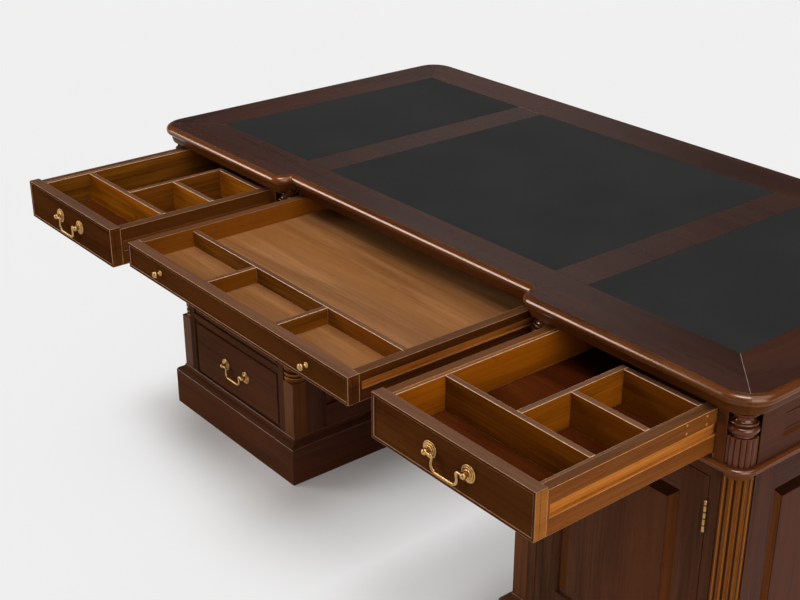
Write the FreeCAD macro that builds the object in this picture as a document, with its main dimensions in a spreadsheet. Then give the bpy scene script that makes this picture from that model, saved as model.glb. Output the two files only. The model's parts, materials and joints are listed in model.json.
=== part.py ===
"""Partners desk: two pedestals under a moulded top with three leathers.

Millimetres.  The origin is on the floor under the middle of the desk, X runs along the desk, the three
frieze drawers open towards -Y, and Z is up.  The frieze drawers stand open, as the desk is drawn.
"""
import FreeCAD, Part

import math
import os
import re
from FreeCAD import Placement, Rotation, Vector

import Sketcher

doc = FreeCAD.newDocument("PartnersDesk")
sheet = doc.addObject("Spreadsheet::Sheet", "Sizes")

# ---------------------------------------------------------------- driving dimensions

DRIVING = {
    # the whole desk
    "desk_length": 1800,
    "desk_depth": 900,
    "desk_height": 780,
    # top
    "top_thickness": 37,
    "edge_overhang": 13,
    "edge_quirk": 1.5,
    "edge_round_drop": 21,
    "edge_lip_drop": 4,
    "edge_lip_width": 5,
    "edge_lip_gap": 1,
    "top_corner_radius": 51,
    "break_depth": 35,
    "break_half_length": 388,
    "break_outer_radius": 20,
    "break_inner_radius": 14,
    "border_width": 110,
    "centre_leather_length": 702,
    "crossband_width": 84,
    "crossband_thickness": 12,
    "leather_thickness": 2,
    # carcase
    "carcase_inset": 8,
    "pedestal_width": 499,
    "frieze_height": 102,
    "bead_height": 13,
    "bead_projection": 8.5,
    "bead_round": 6,
    "board": 20,
    "corner_notch": 38,
    "post_depth": 66,
    "opening_width": 382,
    "plinth_height": 98,
    "plinth_cap": 18,
    "plinth_projection": 19.5,
    "plinth_board": 40,
    "door_rail": 21,
    # raised panels of the pedestals
    "panel_border": 26,
    "panel_sink": 7,
    "panel_edge": 5,
    "field_sink": 0.8,
    "field_step": 1.6,
    "panel_tongue": 6,
    "panel_play": 0.5,
    "end_panel_half_length": 333,
    "end_top_rail": 55,
    "end_bottom_rail": 75,
    # sunk panels of the frieze
    "frieze_panel_margin": 24,
    "frieze_panel_moulding": 14,
    "frieze_panel_sink": 6,
    "frieze_panel_thickness": 8,
    # corner columns and capitals
    "column_radius": 28,
    "shaft_radius": 27.7,
    "column_neck_radius": 22,
    "column_play": 0.5,
    "block_height": 162,
    "base_height": 30,
    "flute_count": 12,
    "flute_radius": 5.2,
    "flute_sink": 3.4,
    "flute_margin": 9,
    "reed_count": 16,
    "reed_radius": 4.9,
    "bell_radius": 27.5,
    "bell_height": 55,
    # drawers
    "drawer_gap": 1.5,
    "frieze_rail": 4,
    "frieze_foot_rail": 9.5,
    "front_thickness": 24,
    "side_thickness": 18,
    "side_drop": 5,
    "back_thickness": 14,
    "bottom_thickness": 6,
    "bottom_lift": 8,
    "frieze_drawer_length": 560,
    "side_drawer_open": 397,
    "centre_drawer_open": 428,
    "cockbead_width": 6,
    "cockbead_depth": 3,
    "divider_thickness": 12,
    "lining_thickness": 7,
    "lining_drop": 6,
    "first_divider": 141,
    "second_divider": 262,
    "third_divider": 386,
    "groove_depth": 6,
    "groove_stop": 6,
    "groove_height": 22,
    "groove_lift": 31,
    "runner_play": 0.3,
    "runner_side_play": 0.8,
    # centre frieze drawer
    "centre_drawer_height": 54,
    "centre_top_rail": 10,
    "centre_side_gap": 8.5,
    "centre_groove_height": 14,
    "centre_groove_lift": 23,
    "centre_side_thickness": 20,
    "tray_divider": 147,
    "tray_bay": 118,
    "partition_thickness": 24,
    # pedestal drawers
    "pedestal_drawer_clearance": 19,
    "pedestal_drawer_rail": 14,
    "field_margin": 8,
    "field_height": 5,
    "pedestal_side_thickness": 15,
    "pedestal_side_drop": 24,
    "pedestal_groove_lift": 52,
    # handles and knobs
    "handle_width": 90,
    "handle_rise": 2.5,
    "rosette_radius": 15.5,
    "post_length": 11,
    "post_ball_radius": 6,
    "bail_radius": 2.7,
    "bail_play": 0.3,
    "bail_drop": 26,
    "bail_neck": 17.5,
    "bail_splay": 4.5,
    "bail_neck_bend": 4.5,
    "bail_foot_bend": 11,
    "knob_radius": 7,
    "knob_length": 17,
    "centre_knob_width": 497,
    "door_knob_radius": 10,
    "door_knob_length": 24,
    "door_knob_inset": 27,
    # doors and hinges
    "door_thickness": 22,
    "door_stile": 55,
    "door_top_rail": 54,
    "door_bottom_rail": 67,
    "door_foot_gap": 2,
    "hinge_length": 54,
    "hinge_inset": 48,
    "hinge_barrel_radius": 2.8,
    "hinge_finial_radius": 3.3,
    "hinge_leaf": 1,
    "hinge_leaf_depth": 18,
    "hinge_leaf_sink": 0.6,
    "hinge_knuckle_gap": 0.4,
    "hinge_play": 0.08,
}

# ---------------------------------------------------------------- dimensions that follow from them

DERIVED = {
    "flat_half_length": "desk_length / 2 - edge_overhang",
    "flat_half_depth": "desk_depth / 2 - edge_overhang",
    "carcase_x": "flat_half_length - carcase_inset",
    "carcase_y": "flat_half_depth - carcase_inset",
    "kneehole_x": "carcase_x - pedestal_width",
    "pedestal_mid": "carcase_x - pedestal_width / 2",
    "recess_y": "carcase_y - break_depth",
    "leather_x": "flat_half_length - border_width",
    "leather_y": "flat_half_depth - border_width",
    "frieze_top": "desk_height - top_thickness",
    "frieze_bottom": "frieze_top - frieze_height",
    "pedestal_top": "frieze_bottom - bead_height",
    "axis_inset": "column_radius + column_play",
    "opening_half": "opening_width / 2",
    "drawer_half": "opening_half - drawer_gap",
    "drawer_bottom": "frieze_bottom + frieze_foot_rail + drawer_gap",
    "drawer_top": "frieze_top - frieze_rail - drawer_gap",
    "centre_half": "kneehole_x - centre_side_gap",
    "centre_top": "frieze_top - centre_top_rail - drawer_gap",
    "centre_bottom": "centre_top - centre_drawer_height",
    "stack_bottom": "plinth_height + plinth_cap",
    "stack_top": "pedestal_top - door_rail",
    "door_bottom": "stack_bottom + door_foot_gap",
    "door_height": "stack_top - drawer_gap - door_bottom",
    "pedestal_pitch": "(stack_top - stack_bottom + pedestal_drawer_rail) / 3",
    "pedestal_front_height": "pedestal_pitch - pedestal_drawer_rail - 2 * drawer_gap",
    "pedestal_drawer_length": "carcase_y - board / 2 - pedestal_drawer_clearance",
    "panel_end": "carcase_y - corner_notch",
    "stile_edge": "pedestal_mid + opening_half",
    "inner_stile_edge": "pedestal_mid - opening_half",
    "partition_x": "kneehole_x - centre_side_gap + drawer_gap",
    "hinge_x": "stile_edge - drawer_gap / 2",
    "hinge_y": "carcase_y + hinge_finial_radius + hinge_knuckle_gap",
}


def fill_sheet():
    """Write every size into the sheet, one row each, with its alias."""
    rows = [(name, str(value)) for name, value in DRIVING.items()]
    rows += [(name, "=" + formula) for name, formula in DERIVED.items()]
    for row, (name, content) in enumerate(rows, start=1):
        sheet.set(f"A{row}", name)
        sheet.set(f"B{row}", content)
        sheet.setAlias(f"B{row}", name)
    doc.recompute()


fill_sheet()

# ---------------------------------------------------------------- helpers

WORD = re.compile(r"[a-z][a-z_0-9]*")
HAIR = 1e-3
NODES = {}


def number(formula):
    """The value of a formula in the sheet's own words."""
    sheet.set("D1", "=" + str(formula))
    sheet.recompute()
    return float(sheet.get("D1"))


def bind(thing, prop, formula):
    """Tie one property to a formula in the sheet's words."""
    thing.setExpression(prop, WORD.sub(lambda word: "Sizes." + word.group(), str(formula)))


def place(thing, x=0, y=0, z=0):
    """Tie an object's place to three formulas."""
    bind(thing, "Placement.Base.x", x)
    bind(thing, "Placement.Base.y", y)
    bind(thing, "Placement.Base.z", z)
    return thing


def box(x0, x1, y0, y1, z0, z1):
    """A box between six planes, each a formula."""
    solid = doc.addObject("Part::Box", "Box")
    bind(solid, "Length", f"({x1}) - ({x0})")
    bind(solid, "Width", f"({y1}) - ({y0})")
    bind(solid, "Height", f"({z1}) - ({z0})")
    return place(solid, x0, y0, z0)


def rod(radius, length, x, y, z, direction=Vector(0, 0, 1)):
    """A cylinder that starts at a point and runs along a direction."""
    solid = doc.addObject("Part::Cylinder", "Rod")
    bind(solid, "Radius", radius)
    bind(solid, "Height", length)
    solid.Placement.Rotation = Rotation(Vector(0, 0, 1), direction)
    return place(solid, x, y, z)


def ball(radius, x, y, z):
    """A sphere round a point."""
    solid = doc.addObject("Part::Sphere", "Ball")
    bind(solid, "Radius", radius)
    return place(solid, x, y, z)


def gather(kind, name, prop, things):
    """One object of a kind that lists other objects."""
    whole = doc.addObject(kind, name)
    setattr(whole, prop, list(things))
    return whole


def fuse(*things):
    return gather("Part::MultiFuse", "Fuse", "Shapes", things)


def group(*things):
    return gather("Part::Compound", "Group", "Links", things)


def cut(base, *tools):
    """The base without the tools."""
    result = doc.addObject("Part::Cut", "Cut")
    result.Base = base
    result.Tool = tools[0] if len(tools) == 1 else fuse(*tools)
    return result


def common(first, second):
    result = doc.addObject("Part::Common", "Common")
    result.Base = first
    result.Tool = second
    return result


def moved(thing, x=0, y=0, z=0):
    """A copy of a thing, shifted by three formulas."""
    return place(group(thing), x, y, z)


def mirrored(thing, normal):
    """A copy of a thing on the other side of a plane through the origin."""
    copy = doc.addObject("Part::Mirroring", "Mirror")
    copy.Source = thing
    copy.Normal = normal
    return copy


def node(label, *things):
    """Name a sub-part; more than one thing makes a group of solids."""
    whole = group(*things)
    whole.Label = label
    NODES[label] = whole
    return whole


LEFTWARD = Vector(1, 0, 0)
REARWARD = Vector(0, 1, 0)


def both_sides(thing):
    """A thing on the +X side and its twin on the -X side."""
    return group(thing, mirrored(thing, LEFTWARD))


# ---------------------------------------------------------------- outlines and profiles

def corner_arc(before, corner, after, radius):
    """Start, middle and end of the arc that rounds a corner."""
    back = (before - corner).normalize()
    ahead = (after - corner).normalize()
    half = back.getAngle(ahead) / 2
    reach = radius / math.tan(half)
    middle = corner + (back + ahead).normalize() * (radius / math.sin(half) - radius)
    return corner + back * reach, middle, corner + ahead * reach


def path_edges(points, closed=True):
    """Edges through corners (x, y, radius), with tangent arcs where the radius is not 0."""
    corners = [Vector(x, y, 0) for x, y, radius in points]
    last = len(points) - 1
    stretches = []
    for index, (x, y, radius) in enumerate(points):
        corner = corners[index]
        if radius == 0 or (not closed and index in (0, last)):
            stretches.append((corner, None, corner))
            continue
        stretches.append(corner_arc(corners[index - 1], corner, corners[(index + 1) % len(points)], radius))
    edges = []
    for index, (start, middle, end) in enumerate(stretches):
        if middle is not None:
            edges.append(Part.Arc(start, middle, end).toShape())
        if closed or index < last:
            following = stretches[(index + 1) % len(points)][0]
            if end.distanceToPoint(following) > HAIR:
                edges.append(Part.LineSegment(end, following).toShape())
    return edges


def outline(name, points, closed=True):
    """A wire in the XY plane through corners whose coordinates and radii are formulas."""
    worked = [(number(x), number(y), number(radius)) for x, y, radius in points]
    wire = doc.addObject("Part::Feature", name)
    wire.Shape = Part.Wire(path_edges(worked, closed))
    return wire


def section_curves(steps, at):
    """Lines and arcs of a closed profile; a step is (out, up), or (mid out, mid up, out, up) for an arc."""
    here = first = at(*steps[0])
    curves = []
    for step in steps[1:]:
        there = at(*step[-2:])
        if len(step) == 4:
            curves.append(Part.Arc(here, at(*step[:2]), there))
        elif here.distanceToPoint(there) > HAIR:
            curves.append(Part.LineSegment(here, there))
        here = there
    if here.distanceToPoint(first) > HAIR:
        curves.append(Part.LineSegment(here, first))
    return curves


def section(name, steps, at):
    """A closed profile wire; `at` turns (out, up) into a point."""
    wire = doc.addObject("Part::Feature", name)
    wire.Shape = Part.Wire([curve.toShape() for curve in section_curves(steps, at)])
    return wire


def prism(wire, bottom, top):
    """A closed outline pulled up between two heights."""
    solid = doc.addObject("Part::Extrusion", "Prism")
    solid.Base = wire
    solid.DirMode = "Custom"
    solid.Dir = Vector(0, 0, 1)
    solid.Solid = True
    bind(solid, "LengthFwd", f"({top}) - ({bottom})")
    return place(solid, 0, 0, bottom)


def run_moulding(spine, profile, mitred):
    """A profile carried round a spine, with mitred or smooth corners."""
    strip = doc.addObject("Part::Sweep", "Moulding")
    strip.Sections = [profile]
    strip.Spine = (spine, [])
    strip.Solid = True
    strip.Frenet = False
    strip.Transition = "Right corner" if mitred else "Transformed"
    return strip


def lathe(name, steps):
    """A solid turned about Z from steps (radius, height); an arc step is (mid, mid, radius, height)."""
    profile = section(name + "_profile", steps, lambda radius, height: Vector(radius, 0, height))
    solid = doc.addObject("Part::Revolution", name)
    solid.Source = profile
    solid.Axis = Vector(0, 0, 1)
    solid.Angle = 360
    solid.Solid = True
    return solid


def origin_plane(body, role):
    """One of a body's own origin planes."""
    return next(plane for plane in body.Origin.OriginFeatures if plane.Role == role)


def body_sketch(body, name, role, lift=0):
    """A sketch on one of the body's own planes, lifted along its normal by a formula."""
    drawing = body.newObject("Sketcher::SketchObject", name)
    drawing.AttachmentSupport = (origin_plane(body, role), [""])
    drawing.MapMode = "FlatFace"
    bind(drawing, "AttachmentOffset.Base.z", lift)
    return drawing


def turned_body(name, steps):
    """A PartDesign body turned about its Z axis from a half profile."""
    body = doc.addObject("PartDesign::Body", name)
    drawing = body_sketch(body, name + "_half", "XZ_Plane")
    for curve in section_curves(steps, lambda radius, height: Vector(radius, height, 0)):
        drawing.addGeometry(curve, False)
    turn = body.newObject("PartDesign::Revolution", name + "_turned")
    turn.Profile = drawing
    turn.ReferenceAxis = (drawing, ["V_Axis"])
    turn.Angle = 360
    body.Tip = turn
    return body


def round_pattern(body, feature, count):
    """Repeat a feature evenly about the body's Z axis."""
    pattern = body.newObject("PartDesign::PolarPattern", feature.Name + "_pattern")
    pattern.Originals = [feature]
    drawing = feature.Profile[0]
    pattern.Axis = (drawing, ["N_Axis"])
    pattern.Angle = 360
    bind(pattern, "Occurrences", count)
    body.Tip = pattern
    return pattern


def circle_sketch(body, name, distance, radius, lift):
    """A circle beside the body's Z axis, both its sizes bound to the sheet."""
    drawing = body_sketch(body, name, "XY_Plane", lift)
    centre = Vector(number(distance), 0, 0)
    drawing.addGeometry(Part.Circle(centre, Vector(0, 0, 1), number(radius)), False)
    drawing.addConstraint(Sketcher.Constraint("PointOnObject", 0, 3, -1))
    drawing.addConstraint(Sketcher.Constraint("DistanceX", -1, 1, 0, 3, number(distance)))
    drawing.addConstraint(Sketcher.Constraint("Radius", 0, number(radius)))
    drawing.renameConstraint(1, "Reach")
    drawing.renameConstraint(2, "Round")
    bind(drawing, "Constraints.Reach", distance)
    bind(drawing, "Constraints.Round", radius)
    return drawing


# ---------------------------------------------------------------- top

def top_outline(name, inset):
    """The plan of the top, drawn in by an inset: straight behind, stepped back over the kneehole."""
    side = f"flat_half_length - ({inset})"
    back = f"flat_half_depth - ({inset})"
    front = f"-({back})"
    recess = f"break_depth - ({back})"
    step = f"break_half_length + {inset}"
    corner = f"top_corner_radius - ({inset})"
    outer = f"break_outer_radius - ({inset})"
    inner = f"break_inner_radius + {inset}"
    return outline(name, [
        (0, back, 0),
        (f"-({side})", back, corner),
        (f"-({side})", front, corner),
        (f"-({step})", front, outer),
        (f"-({step})", recess, inner),
        (step, recess, inner),
        (step, front, outer),
        (side, front, corner),
        (side, back, corner),
    ])


def top_edge_profile():
    """Quirk, half round and an ovolo skirt that hangs a little over the frieze.

    The profile stands at the middle of the rear edge.
    """
    top = number("desk_height")
    under = number("frieze_top")
    quirk = number("edge_quirk")
    out = number("edge_overhang")
    half_round = number("edge_round_drop") / 2
    lip_inside = number("edge_lip_gap - carcase_inset")
    lip_outside = number("edge_lip_gap + edge_lip_width - carcase_inset")
    root = out - half_round
    round_top = top - quirk
    round_foot = round_top - 2 * half_round
    skirt_top = round_foot - quirk
    skirt_foot = number("frieze_top - edge_lip_drop")
    inside = -number("carcase_inset") - quirk
    edge = number("flat_half_depth")
    steps = [
        (inside, top), (0, top), (0, top - quirk / 2), (root, round_top),
        (out, round_top - half_round, root, round_foot),
        (quirk, round_foot), (quirk, skirt_top),
        (lip_outside + (quirk - lip_outside) * 0.75, (skirt_top + skirt_foot) / 2, lip_outside, skirt_foot),
        (lip_inside, skirt_foot), (lip_inside, under), (inside, under),
    ]
    return section("top_edge_profile", steps, lambda out, up: Vector(0, edge + out, up))


def break_clearance():
    """What the lip under the edge leaves free where the top steps back past the inner capitals."""
    return box("kneehole_x - edge_lip_gap", "kneehole_x + corner_notch", "-carcase_y - edge_lip_gap",
               "-recess_y - edge_lip_gap", "frieze_bottom", "frieze_top")


def top_ring():
    """The whole border of the top with its moulded edge, before it is cut at the mitres."""
    strip = run_moulding(top_outline("top_edge", 0), top_edge_profile(), mitred=False)
    strip = cut(strip, both_sides(break_clearance()))
    slab = prism(top_outline("top_slab", "carcase_inset + edge_quirk / 2"), "frieze_top", "desk_height")
    well = box("-leather_x", "leather_x", "-leather_y", "leather_y", 0, "2 * desk_height")
    return fuse(cut(slab, well), strip)


def mitre_share(name, first, last, inwards, outwards, z0, z1):
    """A block between two mitre planes; a corner is (x, y, outward sign x, outward sign y)."""
    plan = []
    for (x, y, side_x, side_y), reaches in ((first, (inwards, outwards)), (last, (outwards, inwards))):
        for reach in reaches:
            sign = -1 if reach is inwards else 1
            plan.append((f"{x} + {sign * side_x} * ({reach})", f"{y} + {sign * side_y} * ({reach})", 0))
    return prism(outline(name, plan), z0, z1)


def mitred(ring, corners, inwards, z0, z1):
    """A ring cut into its four sides at the mitres; corners run front left, front right, and on round."""
    sides = []
    for name, index in (("front", 0), ("right", 1), ("rear", 2), ("left", 3)):
        first, last = corners[index], corners[(index + 1) % 4]
        share = mitre_share(f"{name}_share", first, last, inwards, "desk_depth / 4", z0, z1)
        sides.append((name, common(ring, share)))
    return sides


def make_top():
    """Core board, four mitred rails, two crossbands and three leathers."""
    corners = [("-leather_x", "-leather_y", -1, -1), ("leather_x", "-leather_y", 1, -1),
               ("leather_x", "leather_y", 1, 1), ("-leather_x", "leather_y", -1, 1)]
    for side, rail in mitred(top_ring(), corners, 0, "frieze_top - board", "desk_height + board"):
        node(f"top_rail_{side}", rail)

    band_in = "centre_leather_length / 2"
    band_out = "centre_leather_length / 2 + crossband_width"
    across = ("-leather_y", "leather_y")
    band_floor = "desk_height - crossband_thickness"
    core = box("-leather_x", "leather_x", *across, "frieze_top", "desk_height - leather_thickness")
    channel = box(band_in, band_out, *across, band_floor, "desk_height")
    node("top_core", cut(core, both_sides(channel)))
    node("crossbands", both_sides(box(band_in, band_out, *across, band_floor, "desk_height")))
    skin = ("desk_height - leather_thickness", "desk_height")
    side_leather = box(band_out, "leather_x", *across, *skin)
    centre_leather = box(f"-{band_in}", band_in, *across, *skin)
    node("leather_panels", centre_leather, both_sides(side_leather))


make_top()


# ---------------------------------------------------------------- framed panels

UPRIGHT = Rotation(Vector(1, 0, 0), 90)


def grown(opening, margin):
    """The edges (x0, x1, y0, y1) of an opening moved outwards by a margin."""
    x0, x1, y0, y1 = opening
    return [f"{x0} - ({margin})", f"{x1} + ({margin})", f"{y0} - ({margin})", f"{y1} + ({margin})"]


def tapered(foot, head, z0, z1):
    """A block that slopes from one rectangle (x0, x1, y0, y1) at a level to another above it."""
    solid = doc.addObject("Part::Wedge", "Taper")
    for tag, (x0, x1, y0, y1) in (("", foot), ("2", head)):
        bind(solid, f"X{tag}min", x0)
        bind(solid, f"X{tag}max", x1)
        bind(solid, f"Z{tag}min", f"-({y1})")
        bind(solid, f"Z{tag}max", f"-({y0})")
    bind(solid, "Ymin", z0)
    bind(solid, "Ymax", z1)
    solid.Placement.Rotation = UPRIGHT
    return solid


def raised_panel(opening):
    """A flat field with a small step round it and a border that slopes down into the frame's groove."""
    field = grown(opening, "-panel_border")
    tongue = grown(opening, "panel_tongue - panel_play")
    step_foot = "-(field_sink + field_step)"
    return fuse(box(*tongue, "-(panel_sink + panel_edge)", "-panel_sink"),
                tapered(opening, field, "-panel_sink", step_foot),
                box(*field, step_foot, "-field_sink"))


def framed(length, height, thickness, opening):
    """A frame lying face up round one opening, and the raised panel in its groove.

    The frame's lower left corner is the origin and its face is at Z = 0.
    """
    hole = box(*opening, f"-2 * ({thickness})", thickness)
    groove = box(*grown(opening, "panel_tongue"), "-(panel_sink + panel_edge)", "-panel_sink")
    frame = cut(box(0, length, 0, height, f"-({thickness})", 0), hole, groove)
    return frame, raised_panel(opening)


def sunk_profile(start_x, start_y):
    """Ogee from the frieze's face down to its panel, across the opening's edge at a point."""
    wide, deep = number("frieze_panel_moulding"), number("frieze_panel_sink")
    back = deep + number("frieze_panel_thickness")
    fillet = wide * 0.08
    run = wide - 2 * fillet
    steps = [
        (0, 0), (0, -deep * 0.12), (fillet, -deep * 0.12),
        (fillet + run * 0.28, -deep * 0.2, fillet + run * 0.5, -deep * 0.5),
        (fillet + run * 0.72, -deep * 0.8, fillet + run, -deep * 0.85),
        (wide, -deep * 0.85), (wide, -deep), (wide, -back),
        (0, -back),
    ]
    x, y = number(start_x), number(start_y)
    return section("sunk_profile", steps, lambda inwards, up: Vector(x, y + inwards, up))


def sunk_moulding(x0, x1, y0, y1):
    """The mitred moulding round a frieze panel, with the opening's edges as formulas."""
    middle = f"({x0} + {x1}) / 2"
    corners = [(middle, y0, 0), (x1, y0, 0), (x1, y1, 0), (x0, y1, 0), (x0, y0, 0)]
    return run_moulding(outline("panel_edge", corners), sunk_profile(middle, y0), mitred=True)


def frieze_board(length, openings):
    """A frieze board lying face up with moulded openings, and the loose panels that fill them.

    The board's lower left corner is the origin and its face is at Z = 0.  Each panel's
    tongue runs into a groove behind the moulding.
    """
    holes = []
    grooves = []
    mouldings = []
    panels = []
    face = "-frieze_panel_sink"
    back = "-(frieze_panel_sink + frieze_panel_thickness)"
    tongue_face = f"{back} + frieze_panel_thickness / 2"
    for opening in openings:
        seen = grown(opening, "-frieze_panel_moulding")
        holes.append(box(*opening, "-2 * board", "board"))
        mouldings.append(sunk_moulding(*opening))
        grooves.append(box(*grown(seen, "panel_tongue"), back, tongue_face))
        tongue = box(*grown(seen, "panel_tongue - panel_play"), back, tongue_face)
        panels.append(fuse(box(*seen, back, face), tongue))
    frieze = cut(box(0, length, 0, "frieze_height", "-board", 0), *holes)
    return cut(fuse(frieze, *mouldings), *grooves), panels


QUARTER_TURNS = {"front": 0, "right": 90, "rear": 180, "left": 270}


def stood(thing, facing, x, y, z):
    """A flat-lying thing stood up to face one side, its lower left corner at a point."""
    copy = group(thing)
    turn = Rotation(Vector(0, 0, 1), QUARTER_TURNS[facing])
    copy.Placement = Placement(Vector(), turn.multiply(UPRIGHT))
    return place(copy, x, y, z)


# ---------------------------------------------------------------- corner columns and capitals

def corner_axes():
    """Axis (x, y) and outward signs of every column corner of the desk."""
    out_x, in_x = "carcase_x - axis_inset", "kneehole_x + axis_inset"
    front, rear = "axis_inset - carcase_y", "carcase_y - axis_inset"
    right = [(out_x, front, 1, -1), (in_x, front, -1, -1), (out_x, rear, 1, 1)]
    left = [(f"-({x})", y, -side_x, side_y) for x, y, side_x, side_y in right]
    return right + left


def corner_face(x, y, side_x, side_y):
    """The two outer planes that meet at a column's corner."""
    return f"{x} + {side_x} * axis_inset", f"{y} + {side_y} * axis_inset"


def corner_square(corner, size, z0, z1):
    """A square block in a corner, flush with both outer faces."""
    face_x, face_y = corner_face(*corner)
    _, _, side_x, side_y = corner
    span_x = sorted_span(face_x, f"{face_x} - {side_x} * ({size})", side_x)
    span_y = sorted_span(face_y, f"{face_y} - {side_y} * ({size})", side_y)
    return box(*span_x, *span_y, z0, z1)


def sorted_span(outer, inner, side):
    """Two planes in rising order, given which side the outer one is on."""
    return (inner, outer) if side > 0 else (outer, inner)


def make_corner_voids():
    """What the carcase leaves free at its corners for the columns and capitals."""
    voids = []
    for corner in corner_axes():
        x, y, _, _ = corner
        bore = rod("column_radius + column_play", "frieze_top - plinth_height", x, y, "plinth_height")
        voids.append(fuse(corner_square(corner, "corner_notch", "plinth_height", "frieze_top"), bore))
    return group(*voids)


CORNER_VOIDS = make_corner_voids()


def make_shaft():
    """Turned base rings and a shaft with stopped flutes, on the Z axis."""
    foot = number("plinth_height + block_height")
    ring = number("column_radius")
    shaft = number("shaft_radius")
    neck = number("column_neck_radius")
    unit = number("base_height") / 10
    top = number("pedestal_top")
    body = turned_body("shaft", [
        (0, foot), (ring - 2 * unit, foot),
        (ring, foot + 2 * unit, ring - 2 * unit, foot + 4 * unit),
        (neck, foot + 4 * unit), (neck, foot + 5 * unit), (shaft - 2 * unit / 3, foot + 5 * unit),
        (shaft, foot + 6 * unit, shaft - 2 * unit / 3, foot + 7 * unit),
        (neck + unit / 2, foot + 7 * unit), (neck + unit / 2, foot + 8 * unit),
        (neck + unit, foot + 9.5 * unit, shaft, foot + 10 * unit),
        (shaft, top), (0, top),
    ])
    flute_foot = "plinth_height + block_height + base_height + flute_margin"
    drawing = circle_sketch(body, "flute", "shaft_radius + flute_radius - flute_sink",
                            "flute_radius", flute_foot)
    flute = body.newObject("PartDesign::Pocket", "flute_cut")
    flute.Profile = drawing
    bind(flute, "Length", f"pedestal_top - flute_margin - ({flute_foot})")
    flute.Reversed = True
    body.Tip = flute
    doc.recompute()
    round_pattern(body, flute, "flute_count")
    return body


def make_capital():
    """A reeded bell under turned rings, on the Z axis."""
    foot = number("frieze_bottom")
    top = number("frieze_top")
    bell = number("bell_height")
    ring = number("column_radius")
    reed = number("reed_radius")
    core = number("bell_radius") - reed
    unit = (top - foot - bell) / 20
    bell_top = foot + bell
    body = turned_body("capital", [
        (0, foot), (core, foot), (core, bell_top - 2 * unit), (ring - 3 * unit, bell_top),
        (ring - 3 * unit, bell_top + unit),
        (ring, bell_top + 4 * unit, ring - 3 * unit, bell_top + 7 * unit),
        (ring - 5 * unit, bell_top + 7 * unit), (ring - 5 * unit, bell_top + 8 * unit),
        (ring - 2 * unit, bell_top + 8 * unit),
        (ring - unit, bell_top + 9 * unit, ring - 2 * unit, bell_top + 10 * unit),
        (ring - 3 * unit, bell_top + 10 * unit),
        (ring - 4 * unit, bell_top + 14 * unit, ring - unit, bell_top + 16 * unit),
        (ring - unit, bell_top + 17 * unit), (ring - 4 * unit, bell_top + 17 * unit),
        (ring - 4 * unit, top), (0, top),
    ])
    drawing = circle_sketch(body, "reed", "bell_radius - reed_radius", "reed_radius", "frieze_bottom")
    rib = body.newObject("PartDesign::Pad", "reed_rib")
    rib.Profile = drawing
    bind(rib, "Length", "bell_height - reed_radius / 2")
    body.Tip = rib
    doc.recompute()
    round_pattern(body, rib, "reed_count")
    return body


def make_columns():
    """Six corner columns on square blocks, and a capital over each."""
    shaft = make_shaft()
    capital = make_capital()
    columns = []
    capitals = []
    for corner in corner_axes():
        x, y, _, _ = corner
        block = corner_square(corner, "corner_notch - column_play", "plinth_height",
                              "plinth_height + block_height")
        columns.append(fuse(block, moved(shaft, x, y)))
        capitals.append(moved(capital, x, y))
    node("corner_columns", *columns)
    node("capitals", *capitals)


make_columns()


# ---------------------------------------------------------------- carcase

def corner_posts(z0, z1):
    """The four posts behind the corners of the right-hand pedestal, before the columns are let in."""
    outer = ("stile_edge", "carcase_x - board")
    inner = ("kneehole_x + board", "inner_stile_edge")
    front = ("board - carcase_y", "post_depth - carcase_y")
    rear = ("carcase_y - post_depth", "carcase_y - board")
    return {
        "outer_front": box(*outer, *front, z0, z1),
        "outer_rear": box(*outer, *rear, z0, z1),
        "inner_front": box(*inner, *front, z0, z1),
        "inner_rear": box(*inner, *rear, z0, z1),
    }


def make_pedestal_sides():
    """Framed outer ends and kneehole sides with their posts, and the loose panels in them."""
    posts = corner_posts("plinth_height", "pedestal_top")
    height = "pedestal_top - plinth_height"
    rails = ("end_bottom_rail", f"{height} - end_top_rail")
    seen = ("panel_end - end_panel_half_length", "panel_end + end_panel_half_length")
    end, end_panel = framed("2 * panel_end", height, "board", (*seen, *rails))
    end = stood(end, "right", "carcase_x", "-panel_end", "plinth_height")
    end = cut(fuse(end, posts["outer_front"], posts["outer_rear"]), CORNER_VOIDS)
    node("pedestal_ends", both_sides(end))

    inner_seen = ("carcase_y - end_panel_half_length", "carcase_y + end_panel_half_length")
    side, side_panel = framed("carcase_y + panel_end", height, "board", (*inner_seen, *rails))
    side = stood(side, "left", "kneehole_x", "carcase_y", "plinth_height")
    side = cut(fuse(side, posts["inner_front"], posts["inner_rear"]), CORNER_VOIDS)
    node("kneehole_sides", both_sides(side))

    node("side_panels",
         both_sides(stood(end_panel, "right", "carcase_x", "-panel_end", "plinth_height")),
         both_sides(stood(side_panel, "left", "kneehole_x", "carcase_y", "plinth_height")))


def face_frame(inner_edge, cross_rails):
    """Stiles and rails of the right-hand pedestal's front, as separate pieces."""
    depth = ("-carcase_y", "board - carcase_y")
    stiles = [
        box("stile_edge", "carcase_x - corner_notch", *depth, "plinth_height", "pedestal_top"),
        box(inner_edge, "inner_stile_edge", *depth, "plinth_height", "pedestal_top"),
    ]
    rails = [box("inner_stile_edge", "stile_edge", *depth, z0, z1) for z0, z1 in cross_rails]
    return [cut(stile, CORNER_VOIDS) for stile in stiles] + rails


def hinge_mortise(z0):
    """The shallow recess in a stile for the fixed leaf of a hinge."""
    return box("stile_edge", "stile_edge + hinge_leaf_sink", "-carcase_y", "hinge_leaf_depth - carcase_y",
               z0, f"{z0} + hinge_length")


HINGE_FEET = ["door_bottom + door_height - hinge_inset - hinge_length", "door_bottom + hinge_inset"]


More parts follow.
